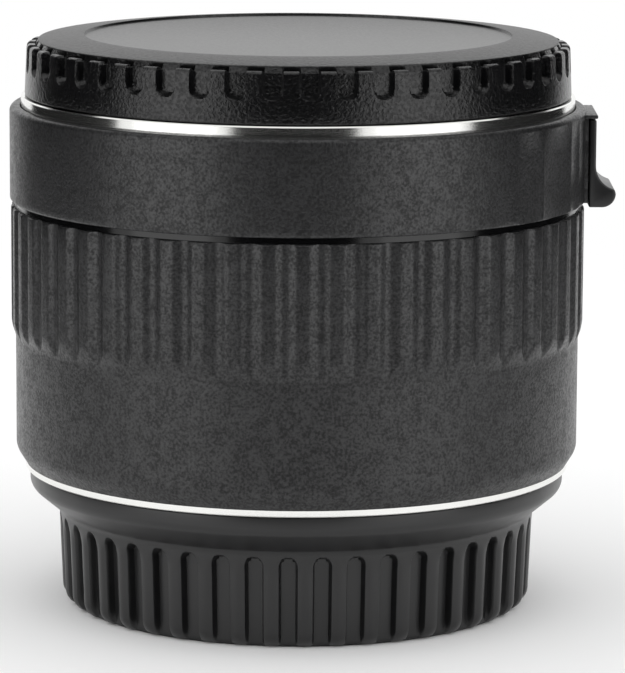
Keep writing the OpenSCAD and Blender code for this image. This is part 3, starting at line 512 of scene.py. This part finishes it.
def cross_screw(bm, place, head, shank, sink, length):
    """Adds a countersunk screw with a cross recess, its head's face on a place's XY plane.

    The radii of head and shank, the head's height and the whole length are in millimetres.
    """
    part = bmesh.new()
    arm, half = 0.62 * head, 0.15 * head
    steps = [math.radians(15 * i) for i in range(7)]
    rim = [(head * math.sin(step), head * math.cos(step)) for step in steps]
    corner = [(arm, 0), (arm, half), (half, half), (half, arm), (0, arm), *rim]
    part.faces.new([part.verts.new((x * MM, y * MM, 0)) for x, y in corner])
    spin(part, part.verts[:] + part.edges[:] + part.faces[:], 1.5 * math.pi, 3, copies=True)
    bmesh.ops.remove_doubles(part, verts=part.verts[:], dist=MERGE)
    open_edges = [edge for edge in part.edges if edge.is_boundary]
    recess = [edge for edge in open_edges if edge.verts[0].co.length < 0.9 * head * MM]
    outside = [edge for edge in open_edges if edge not in recess]
    for edges, levels in (
        (recess, ((0.75, 0.6 * sink),)),
        (outside, ((shank / head, sink), (1, length))),
    ):
        for share, depth in levels:
            grown = bmesh.ops.extrude_edge_only(part, edges=edges)["geom"]
            for vert in [item for item in grown if isinstance(item, bmesh.types.BMVert)]:
                vert.co = (vert.co.x * share, vert.co.y * share, -depth * MM)
            edges = [item for item in grown if isinstance(item, bmesh.types.BMEdge) and item.is_boundary]
        bmesh.ops.holes_fill(part, edges=edges, sides=24)
    bmesh.ops.transform(part, matrix=place, verts=part.verts[:])
    join(bm, part)


def piece(bm, name, materials, body, slot, *nodes):
    """Makes a bmesh an object that rides a body and stands for CAD nodes."""
    bmesh.ops.recalc_face_normals(bm, faces=bm.faces[:])
    mesh = meshed(bm, name)
    for material in materials:
        mesh.materials.append(material)
    mesh.shade_smooth()
    mesh.set_sharp_from_angle(angle=math.radians(32))
    made = placed(name, mesh)
    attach(made, body)
    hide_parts(*nodes)
    return made


class TELECONVERTER_OT_body_cap(bpy.types.Operator):
    """Builds the body cap with its notched skirt and sunk disc"""

    bl_idname = "teleconverter.body_cap"
    bl_label = "Body cap"

    def execute(self, context):
        cap = context.scene.teleconverter_body_cap
        low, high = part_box("body_cap")
        rim, top, tube = (high[0] + cap.swell) / MM, high[2] / MM, low[2] / MM
        shoulder, land, ceiling, skirt = rim - 0.25, top - 1.05, top - 2.2, top - 7.05
        floor = shoulder - cap.notch_depth / MM
        edge, tube_out, ledge, well = floor - 0.3, rim - 7, top - 4.8, land - 0.5
        disc, sunk, plain = rim - 7.1, top - 0.3, land - 4.2
        skirt_in, ledge_in, tube_in = rim - 1.4, rim - 2.3, tube_out - 1.7
        width, soft = cap.notch_width / MM, cap.softness / MM
        pitch = 2 * math.pi * rim / cap.notches
        columns = stops(width / 2 / pitch, soft / pitch)
        bm = turned(
            [
                (0, sunk, 0),
                (disc - 0.04, sunk, 0.05),
                (disc + 0.04, top, 0.08),
                (edge - 2.7, top - 0.2, 2),
                (edge, top - 0.58, 0.15),
                (edge - 0.4, well, 0.05),
                (floor, well, 0.05),
                (floor, land, 0.08),
                (shoulder, land, 0.45),
                (rim - 0.08, plain, 0),
                (rim, skirt, 0.25),
                (skirt_in, skirt, 0.15),
                (skirt_in, ledge, 0.2),
                (ledge_in, ledge, 0.2),
                (ledge_in, ceiling, 0.3),
                (tube_out, ceiling, 0.3),
                (tube_out, tube, 0.2),
                (tube_in, tube, 0.2),
                (tube_in, ceiling, 0.3),
                (0, ceiling, 0),
            ],
            2 * math.pi / cap.notches,
            len(columns) - 1,
            rows=[(floor + 0.1, plain, land, 0.16)],
        )
        gather(bm, 2 * math.pi / cap.notches, columns, cap.turn)
        end = land - cap.notch_length / MM + width / 2
        for vert, reach, z, across in wall(bm, cap.notches, cap.turn, edge - 0.6, plain, land + 0.1):
            share = slot_share(across, end - z, width, soft)
            # At a notch the undercut is filled up to the land tops, and the skirt is drawn in
            if reach < floor + 0.01 and z < well + 0.1:
                vert.co.z += share * (land - 0.2 - z) * MM
                vert.co.xy *= 1 + share * (floor - 0.05 - reach) / reach
            elif reach > edge + 0.1:
                vert.co.z -= share * max(0, z - land + 0.3) * MM
                draw_in(vert, reach, floor, share)
        repeat(bm, cap.notches)
        for face in bm.faces:
            spot = face.calc_center_median() / MM
            if spot.z > well and spot.xy.length < edge + 0.05:
                face.material_index = 1 if spot.xy.length > disc else 2
        sectors(bm, tube_out - 0.05, tube_out + 1.3, tube, tube + 1.5, 90, 50)
        finish = context.scene.teleconverter_finish
        materials = [
            leather_grain(finish, "leather_grained_abs", 0.24, 0.06),
            leather_grain(finish, "leather_grained_ring", 0.38, 0.08),
            leather_grain(finish, "leather_grained_disc", 0.3, 0.03),
        ]
        piece(bm, "body_cap_shell", materials, "body_cap", "cap_plastic", "body_cap")
        return {"FINISHED"}


class TELECONVERTER_OT_rear_cap(bpy.types.Operator):
    """Builds the rear cap with its grooved wall and flared rim"""

    bl_idname = "teleconverter.rear_cap"
    bl_label = "Rear cap"

    def execute(self, context):
        cap = context.scene.teleconverter_rear_cap
        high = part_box("rear_cap")[1]
        rim, top = high[0] / MM, high[2] / MM
        wall_r, foot, bend, waist = rim - 3.45, 27.95, 1.9, 8
        hip, flare, lip, shelf = top - 4.9, top - 2, top - 0.1, top - 4.1
        mouth, bore, floor, ring_in, ring_out, sink = 27.1, 26.0, 2.2, 20.4, 22.0, 0.4
        width, soft, depth = cap.groove_width / MM, cap.softness / MM, cap.groove_depth / MM
        pitch = 2 * math.pi * foot / cap.grooves
        columns = stops(width / 2 / pitch, soft / pitch)
        bm = turned(
            [
                (0, 0, 0),
                (ring_in, 0, 0.1),
                (ring_in, sink, 0.1),
                (ring_out, sink, 0.1),
                (ring_out, 0, 0.1),
                (foot, 0, bend),
                (foot + 0.32, waist, 0),
                (wall_r, hip, 0.5),
                (rim, flare, 0.6),
                (rim, lip, 0.12),
                (mouth, lip, 0.15),
                (mouth, shelf, 0.2),
                (bore, shelf, 0.1),
                (bore, floor, 0.5),
                (0, floor, 0),
            ],
            2 * math.pi / cap.grooves,
            len(columns) - 1,
            rows=[(foot - 0.3, waist, hip, 0.16), (foot - 0.3, bend, waist, 1.5)],
        )
        gather(bm, 2 * math.pi / cap.grooves, columns, cap.turn)
        end = cap.groove_top / MM - width / 2
        for vert, reach, z, across in wall(bm, cap.grooves, cap.turn, foot - depth - 0.1, -1, hip):
            side = min(1, (pitch / 2 - abs(across)) / (pitch / 2 - width / 2))
            drop = cap.crown / MM * side**2 * smooth((end + width / 2 - z) / 2)
            draw_in(vert, reach, reach - drop, 1)
            share = slot_share(across, z - end, width, soft)
            draw_in(vert, reach - 0.98 * drop, foot + (wall_r - foot) * z / hip - depth, share)
        repeat(bm, cap.grooves)
        sectors(bm, bore - 0.25, mouth + 0.05, top - 1.7, top - 0.3, 30, 48)
        finish = context.scene.teleconverter_finish
        material = satin_moulding("satin_polypropylene", finish.satin_plastic)
        piece(bm, "rear_cap_shell", [material], "rear_cap", "cap_plastic", "rear_cap")
        return {"FINISHED"}


class TELECONVERTER_OT_barrels(bpy.types.Operator):
    """Builds the fluted main barrel and the plain upper barrel with its grip scoops and lever roof"""

    bl_idname = "teleconverter.barrels"
    bl_label = "Barrels"

    def execute(self, context):
        barrel = context.scene.teleconverter_barrels
        lacquer = textured_lacquer(context.scene.teleconverter_finish)
        # Polished moulding: near black, with sharp streaks of light
        gloss = plain_finish("moulded_collar", "#060607", 0.14)
        self.main(barrel, lacquer, gloss)
        self.upper(barrel, lacquer)
        return {"FINISHED"}

    def main(self, barrel, lacquer, gloss):
        """Main barrel: conical foot, plain wall, fluted grip, glossy collar and spigot."""
        low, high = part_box("main_barrel")
        grip, foot, spigot = high[0] / MM, low[2] / MM, high[2] / MM
        wall_r, edge = grip - 0.5, barrel.edge / MM
        ribs, top, collar = spigot - 16.55, spigot - 1.1, spigot - 0.27
        bore, shelf, shelf_r = 31.5, top - 1.65, 27.2
        web_low, web_high, web_r = 30.9, 33.4, 19.4
        base_low, base_high, base_r = 18.65, 21.0, 27.5
        dot, dot_low, dot_high = 20.9, 19.6, 22.2
        bm = turned(
            [
                (bore, foot, 0),
                (wall_r - 1.1, foot, 0.08),
                (wall_r, foot + 1.75, 0.5),
                (wall_r, dot_low, 0),
                (wall_r, dot_high, 0),
                (wall_r, ribs, 0.4),
                (grip, ribs + 1.4, 0.6),
                (grip, top, edge),
                (grip - 0.55, top, 0.05),
                (grip - 0.55, collar, 0.05),
                (grip - 1, collar, 0),
                (grip - 1, spigot, 0.1),
                (grip - 2, spigot, 0.1),
                (grip - 2, shelf, 0),
                (shelf_r, shelf, 0.2),
                (shelf_r, shelf - 2, 0.2),
                (bore, shelf - 2, 0.3),
                (bore, web_high, 0.3),
                (web_r, web_high, 0.2),
                (web_r, web_low, 0.2),
                (bore, web_low, 0.3),
                (bore, base_high, 0.3),
                (base_r, base_high, 0.2),
                (base_r, base_low, 0.2),
                (bore, base_low, 0),
            ],
            2 * math.pi / barrel.flutes,
            16,
            rows=[
                (wall_r - 0.2, dot_low, dot_high, 0.2),
                (wall_r - 0.2, ribs - 0.5, ribs + 2, 0.12),
                (grip - 0.2, ribs + 2, top, 2.5),
            ],
        )
        width, depth = barrel.flute_width / MM, barrel.flute_depth / MM
        turn = barrel.turn
        bmesh.ops.rotate(bm, verts=bm.verts[:], cent=(0, 0, 0), matrix=Matrix.Rotation(turn, 3, "Z"))
        for vert, reach, z, across in wall(bm, barrel.flutes, turn, wall_r - 0.2, ribs - 0.5, top + 0.1):
            hollow = depth * smooth(1.12 - abs(across) / (width / 2)) ** 0.8
            draw_in(vert, reach, grip - hollow, 1)
        repeat(bm, barrel.flutes)
        self.dot_seat(bm, wall_r, dot)
        for face in bm.faces:
            spot = face.calc_center_median() / MM
            if grip - 0.6 < spot.xy.length < grip - 0.5 and spot.z > top:
                face.material_index = 1
        piece(bm, "main_barrel_shell", [lacquer, gloss], "converter", "barrel_paint", "main_barrel")

    def upper(self, barrel, lacquer):
        """Upper barrel: plain band with three scoops each side of the lever, its window, bed and roof."""
        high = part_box("upper_barrel")[1]
        band, top, roof = high[1] / MM, high[2] / MM - 0.4, high[2] / MM - 1
        edge, inside, bottom = barrel.edge / MM, band - 2.2, 48.42
        lip, step, seat, seat_r = band - 1.05, band - 1.25, roof - 0.55, 28.7
        bm = turned(
            [
                (lip, bottom, 0),
                (band, bottom, edge),
                (band, WINDOW_LOW, 0),
                (band, WINDOW_HIGH, 0),
                (band, top, 0.7),
                (step, top, 0.12),
                (step, seat, 0),
                (seat_r, seat, 0),
                (seat_r, roof - 2.75, 0),
                (inside, roof - 2.75, 0.3),
                (inside, WINDOW_HIGH, 0),
                (inside, WINDOW_LOW, 0),
                (inside, bottom + 0.4, 0.1),
                (lip, bottom + 0.4, 0),
            ],
            math.radians(12),
            24,
            rows=[
                (band - 0.3, bottom, WINDOW_LOW + 0.05, 0.6),
                (band - 0.3, WINDOW_HIGH - 0.05, top - 0.7, 0.2),
            ],
        )
        repeat(bm, 30)
        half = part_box("release_lever")[1][1] / MM
        self.window(bm, inside, band, half)
        self.dot_seat(bm, band, 57.45)
        # Each scoop: bearing from the lever, width and depth
        for bearing, width, depth in ((38.95, 5.3, 0.35), (28.05, 7.7, 0.45), (18.75, 3.4, 0.3)):
            for turn in (math.radians(-bearing), math.radians(bearing)):
                for vert, reach, z, across in wall(bm, 1, turn, band - 0.9, 48, roof + 0.5):
                    share = smooth((roof - z) / 0.5) * max(0.0, 1 - (2 * across / width) ** 2)
                    draw_in(vert, reach, band - depth * share, 1)
        block(bm, (33.1, -half - 0.25, roof - 0.45), (band + 1.1, half + 0.25, roof), 0.15)
        # The bed is a flat frame round the window: below it, above it and at its two sides
        bed, sill, root, face = half - 0.3, half - 0.55, 32.9, band + 0.05
        for low, high in (
            ((root, -bed, bottom + 0.05), (face, bed, WINDOW_LOW)),
            ((root, -bed, WINDOW_HIGH), (face, bed, roof - 0.4)),
            ((root, -bed, WINDOW_LOW - 0.05), (face, -sill, WINDOW_HIGH + 0.05)),
            ((root, sill, WINDOW_LOW - 0.05), (face, bed, WINDOW_HIGH + 0.05)),
        ):
            block(bm, low, high, 0.05)
        piece(bm, "upper_barrel_shell", [lacquer], "converter", "barrel_paint", "upper_barrel")

    def dot_seat(self, bm, face, height):
        """Sinks a round seat for an index dot into the back of a barrel."""
        for vert, reach, z, across in wall(bm, 1, math.pi / 2, face - 0.1, height - 1.4, height + 1.4):
            share = smooth((1.15 - math.hypot(across, z - height)) / 0.15 + 0.5)
            draw_in(vert, reach, face - 0.35, share)

    def window(self, bm, inside, band, half):
        """Cuts the lever's window through the wall and closes its sides."""
        loops = []
        sweep = math.asin((half - 0.4) / inside)
        for reach in (inside, band):
            spots = [(face, face.calc_center_median() / MM) for face in bm.faces]
            faces = [
                face
                for face, spot in spots
                if abs(spot.xy.length - reach) < 0.1
                and abs(math.atan2(spot.y, spot.x)) < sweep
                and WINDOW_LOW < spot.z < WINDOW_HIGH
            ]
            edges = {edge for face in faces for edge in face.edges}
            loops += [edge for edge in edges if sum(face in faces for face in edge.link_faces) == 1]
            bmesh.ops.delete(bm, geom=faces, context="FACES")
        bmesh.ops.bridge_loops(bm, edges=loops)


class TELECONVERTER_OT_release_lever(bpy.types.Operator):
    """Builds the release lever with its thumb hollow and rounded toe"""

    bl_idname = "teleconverter.release_lever"
    bl_label = "Release lever"

    def execute(self, context):
        lever = context.scene.teleconverter_lever
        low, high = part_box("release_lever")
        back, face, tip = 34.25, 35.05, high[0] / MM - 0.2
        half, bottom, top = high[1] / MM, low[2] / MM + 0.55, high[2] / MM
        toe, hollow, middle = lever.toe / MM, lever.hollow / MM, bottom + 4.95
        outline = [(back, top), (back, bottom)]
        outline += self.arc(tip - toe, bottom + toe, toe, -90, 0, 10)
        outline += self.arc(face + hollow, middle, hollow, 257, 180, 12)
        outline += [(face, top)]
        bm = bmesh.new()
        side = bm.faces.new([bm.verts.new((x * MM, -half * MM, z * MM)) for x, z in outline])
        grown = bmesh.ops.extrude_face_region(bm, geom=[side], use_keep_orig=True)["geom"]
        far = [item for item in grown if isinstance(item, bmesh.types.BMVert)]
        bmesh.ops.translate(bm, verts=far, vec=(0, 2 * half * MM, 0))
        bmesh.ops.recalc_face_normals(bm, faces=bm.faces[:])
        corners = [edge for edge in bm.edges if edge.calc_face_angle(0) > math.radians(40)]
        rounded(bm, corners, lever.edge, clamp=True)
        # The tongue that goes through the window
        tongue, tongue_low, tongue_high = half - 0.8, 53.4, 55.6
        block(bm, (low[0] / MM, -tongue, tongue_low), (back + 0.1, tongue, tongue_high), 0.1)
        finish = context.scene.teleconverter_finish
        material = satin_moulding("satin_abs", finish.lever_plastic)
        piece(bm, "release_lever_shell", [material], "release_lever", "lever_plastic", "release_lever")
        return {"FINISHED"}

    def arc(self, x, z, radius, start, end, parts):
        """Points of an arc, in millimetres and degrees."""
        angles = [math.radians(start + (end - start) * i / parts) for i in range(parts + 1)]
        return [(x + radius * math.cos(a), z + radius * math.sin(a)) for a in angles]


class TELECONVERTER_OT_mounts(bpy.types.Operator):
    """Finishes the bayonet mounts and builds their cross-recessed screws"""

    bl_idname = "teleconverter.mounts"
    bl_label = "Mounts"

    def execute(self, context):
        dress(turned_chrome(context.scene.teleconverter_finish), "front_mount_ring", "rear_mount_ring")
        # Tumbled steel: bright, with soft glints
        steel = plain_finish("bright_steel", "#c4c4c1", 0.28, metallic=1.0, patch=0.6)
        dress(
            steel,
            "barrel_screws",
            "lens_barrel_screws",
            "lever_screws",
            "bayonet_springs",
            "lock_pin",
            "guide_rod",
            "lever_link",
        )
        low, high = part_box("front_mount_screws")
        upright = Matrix.Translation((0, 0, high[2] - 0.05 * MM))
        self.screws("front_mount_screws", steel, 30.125, (50, 130, 230, 310), upright, high[2] - low[2])
        low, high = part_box("rear_mount_screws")
        hanging = Matrix.Translation((0, 0, low[2] + 0.05 * MM)) @ Matrix.Rotation(math.pi, 4, "X")
        self.screws("rear_mount_screws", steel, 29.5, (-15, -105, -195, -285), hanging, high[2] - low[2])
        return {"FINISHED"}

    def screws(self, node, steel, ring, bearings, place, length):
        """Screws at some bearings of a ring, all on one side of a mount."""
        head, shank, sink = 1.55, 0.82, 1.05
        bm = bmesh.new()
        for bearing in bearings:
            spot = Matrix.Rotation(math.radians(bearing), 4, "Z") @ Matrix.Translation((ring * MM, 0, 0))
            cross_screw(bm, place @ spot, head, shank, sink, length / MM - 0.1)
        piece(bm, f"{node}_cross", [steel], "converter", "screw_steel", node)


class TELECONVERTER_OT_springs(bpy.types.Operator):
    """Builds the lever's return spring and the springs under the contact pins"""

    bl_idname = "teleconverter.springs"
    bl_label = "Springs"

    def execute(self, context):
        # Drawn wire: grey metal with narrow bright lines along it
        wire = plain_finish("drawn_spring_steel", "#b8b8b4", 0.25, metallic=1.0, patch=0.8)
        low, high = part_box("lever_spring")
        middle = (low + high) / 2 / MM
        bm = bmesh.new()
        coil(bm, (middle.x, middle.y, low.z / MM), 1.25, 0.18, (high.z - low.z) / MM, 5)
        made = piece(bm, "lever_spring_coil", [wire], "converter", "spring_steel", "lever_spring")
        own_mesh(made)
        low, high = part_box("contact_springs")
        bm = bmesh.new()
        count, spacing, centre = 8, 5.2, 270
        for i in range(count):
            bearing = math.radians(centre + spacing * (i - (count - 1) / 2))
            spot = (CONTACT_RING * math.cos(bearing), CONTACT_RING * math.sin(bearing), low.z / MM)
            coil(bm, spot, 0.6, 0.12, (high.z - low.z) / MM, 3)
        made = piece(bm, "contact_spring_coils", [wire], "converter", "spring_steel", "contact_springs")
        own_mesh(made)
        return {"FINISHED"}


class TELECONVERTER_OT_inside(bpy.types.Operator):
    """Finishes the optics, the baffles, the contacts and the electronics"""

    bl_idname = "teleconverter.inside"
    bl_label = "Inside"

    def execute(self, context):
        # Anodised aluminium: black with a faint metal sheen
        anodised = plain_finish("black_anodised_aluminium", "#151516", 0.42, metallic=0.35, patch=1.0)
        dress(
            anodised,
            "lens_barrel",
            "front_spacer",
            "middle_spacer",
            "rear_spacer",
            "front_retaining_ring",
            "rear_retaining_ring",
            "rear_baffle_screws",
        )
        # Matt mouldings that keep stray light down: no glints
        dull = plain_finish("dull_black_polycarbonate", "#0f0f10", 0.8)
        dress(dull, "front_baffle", "rear_baffle", "front_contact_block", "rear_contact_block")
        dress(coated_glass(), *[f"lens_element_{i}" for i in range(1, 8)])
        # Gold plate: warm and bright
        gilt = plain_finish("gilt_contacts", "#d8b35c", 0.22, metallic=1.0, patch=0.5)
        dress(gilt, "contact_pins", "rear_contact_pads")
        # Electronics: glossy green lacquer, dull epoxy, milky nylon and amber film
        dress(plain_finish("solder_resist", "#1d5a36", 0.35), "circuit_board")
        dress(plain_finish("moulded_chip", "#161617", 0.6), "board_chip")
        dress(plain_finish("connector_nylon", "#e4dfd0", 0.5), "board_connectors")
        dress(plain_finish("polyimide_film", "#b0652a", 0.25), "rear_flex_cable", "front_flex_cable")
        # Enamel: a smooth, clear red
        dress(plain_finish("red_enamel", "#c0151b", 0.3), "rear_index_dot", "front_index_dot")
        return {"FINISHED"}


class TELECONVERTER_OT_stage(bpy.types.Operator):
    """Sets up the floor, the light and the camera"""

    bl_idname = "teleconverter.stage"
    bl_label = "Studio"

    def execute(self, context):
        stage = context.scene.teleconverter_stage
        self.floor()
        self.flags(stage)
        self.lamps(stage)
        self.world(context.scene)
        self.camera(context.scene, stage)
        context.scene.view_settings.view_transform = "Standard"
        return {"FINISHED"}

    def floor(self):
        """Pale round floor that keeps the contact shadow and fades into the white background."""
        bm = bmesh.new()
        bmesh.ops.create_circle(bm, cap_ends=True, segments=96, radius=0.35)
        mesh = meshed(bm, "floor")
        floor = placed("floor", mesh)
        floor.location.z = -0.02 * MM
        material, tree, shader, place = surface("white_sweep")
        shader.inputs["Base Color"].default_value = linear("#fbfbfb")
        shader.inputs["Roughness"].default_value = 0.9
        shader.inputs["Specular IOR Level"].default_value = 0.0
        reach = add(tree, "ShaderNodeVectorMath", {0: place}, operation="LENGTH").outputs["Value"]
        fade = add(
            tree,
            "ShaderNodeMapRange",
            {"Value": reach, "From Min": 0.15, "From Max": 0.3},
            interpolation_type="SMOOTHSTEP",
        ).outputs["Result"]
        clear = add(tree, "ShaderNodeBsdfTransparent")
        blend = add(tree, "ShaderNodeMixShader", {0: fade, 1: shader.outputs[0], 2: clear.outputs[0]})
        tree.links.new(blend.outputs[0], tree.nodes["Material Output"].inputs["Surface"])
        mesh.materials.append(material)

    def flags(self, stage):
        """Dark curved flags, out of the camera's sight, that shape the reflections on the barrel."""
        material, _, shader, _ = surface("black_flag")
        shader.inputs["Base Color"].default_value = linear("#0a0a0a")
        shader.inputs["Roughness"].default_value = 1.0
        # Each flag spans a stretch of bearings, in degrees from the camera's side of the axis
        for label, start, end in (("front", -27, 24), ("left", -142, -78), ("right", 74, 142)):
            bm = bmesh.new()
            bearing = math.radians(start - 90)
            x, y = stage.flag_reach * math.cos(bearing), stage.flag_reach * math.sin(bearing)
            ends = [bm.verts.new((x, y, z)) for z in (-0.7, 0.9)]
            edge = bm.edges.new(ends)
            spin(bm, ends + [edge], math.radians(end - start), 24)
            mesh = meshed(bm, f"flag_{label}")
            mesh.materials.append(material)
            flag = placed(f"flag_{label}", mesh)
            flag.visible_camera = False
            flag.visible_transmission = False
            flag.visible_diffuse = False
            flag.visible_shadow = False

    def lamps(self, stage):
        """Two tall soft boxes, left and right of the camera."""
        for label, bearing in (("left", -51), ("right", 50)):
            data = bpy.data.lights.new(f"softbox_{label}", "AREA")
            data.shape = "RECTANGLE"
            data.size, data.size_y = 0.55, 1.1
            data.energy = stage.lamp_power
            lamp = placed(f"softbox_{label}", data)
            lamp.matrix_world = (
                Matrix.Rotation(math.radians(bearing), 4, "Z")
                @ Matrix.Translation((0, -stage.flag_reach, 0.035))
                @ Matrix.Rotation(math.pi / 2, 4, "X")
            )

    def world(self, scene):
        """White surroundings for the camera, mirrors and glass, and a plain level of soft light."""
        world = bpy.data.worlds.new("studio")
        world.use_nodes = True
        tree = world.node_tree
        tree.nodes.clear()
        path = add(tree, "ShaderNodeLightPath")
        seen = add(
            tree,
            "ShaderNodeMath",
            {0: path.outputs["Is Camera Ray"], 1: path.outputs["Is Glossy Ray"]},
            operation="MAXIMUM",
        )
        seen = add(
            tree,
            "ShaderNodeMath",
            {0: seen.outputs[0], 1: path.outputs["Is Transmission Ray"]},
            operation="MAXIMUM",
        )
        white = add(tree, "ShaderNodeBackground", {"Color": (1, 1, 1, 1), "Strength": 1.0})
        soft = add(tree, "ShaderNodeBackground", {"Color": (1, 1, 1, 1), "Strength": 1.08})
        mix = add(tree, "ShaderNodeMixShader", {0: seen.outputs[0], 1: soft.outputs[0], 2: white.outputs[0]})
        add(tree, "ShaderNodeOutputWorld", {"Surface": mix.outputs[0]})
        scene.world = world

    def camera(self, scene, stage):
        """Camera at the photograph's viewpoint."""
        width, height = PHOTO_SIZE
        data = bpy.data.cameras.new("camera")
        data.sensor_width = 36
        data.lens = stage.focal * data.sensor_width / height
        data.shift_x = (width / 2 - stage.centre_x) / height
        data.clip_start = 0.01
        camera = placed("camera", data)
        camera.matrix_world = (
            Matrix.Translation((0, -stage.distance, stage.height))
            @ Matrix.Rotation(math.pi / 2 - stage.pitch, 4, "X")
            @ Matrix.Rotation(stage.roll, 4, "Z")
        )
        scene.camera = camera


OPERATORS = (
    TELECONVERTER_OT_body_cap,
    TELECONVERTER_OT_rear_cap,
    TELECONVERTER_OT_barrels,
    TELECONVERTER_OT_release_lever,
    TELECONVERTER_OT_mounts,
    TELECONVERTER_OT_springs,
    TELECONVERTER_OT_inside,
    TELECONVERTER_OT_stage,
)


class TELECONVERTER_PT_panel(bpy.types.Panel):
    """Lists the pieces and the studio"""

    bl_label = "Teleconverter"
    bl_space_type = "VIEW_3D"
    bl_region_type = "UI"
    bl_category = "Teleconverter"

    def draw(self, context):
        for operator in OPERATORS:
            self.layout.operator(operator.bl_idname)


SETTINGS = {
    "teleconverter_finish": FinishSettings,
    "teleconverter_body_cap": BodyCapSettings,
    "teleconverter_rear_cap": RearCapSettings,
    "teleconverter_barrels": BarrelSettings,
    "teleconverter_lever": LeverSettings,
    "teleconverter_stage": StageSettings,
}
CLASSES = (*SETTINGS.values(), *OPERATORS, TELECONVERTER_PT_panel)


def register():
    for cls in CLASSES:
        bpy.utils.register_class(cls)
    for name, group in SETTINGS.items():
        setattr(bpy.types.Scene, name, PointerProperty(type=group))


def unregister():
    for name in SETTINGS:
        delattr(bpy.types.Scene, name)
    for cls in reversed(CLASSES):
        bpy.utils.unregister_class(cls)


def main():
    """Registers the classes and builds every piece and the stage."""
    register()
    bpy.ops.teleconverter.body_cap()
    bpy.ops.teleconverter.rear_cap()
    bpy.ops.teleconverter.barrels()
    bpy.ops.teleconverter.release_lever()
    bpy.ops.teleconverter.mounts()
    bpy.ops.teleconverter.springs()
    bpy.ops.teleconverter.inside()
    bpy.ops.teleconverter.stage()


if __name__ == "__main__":
    main()
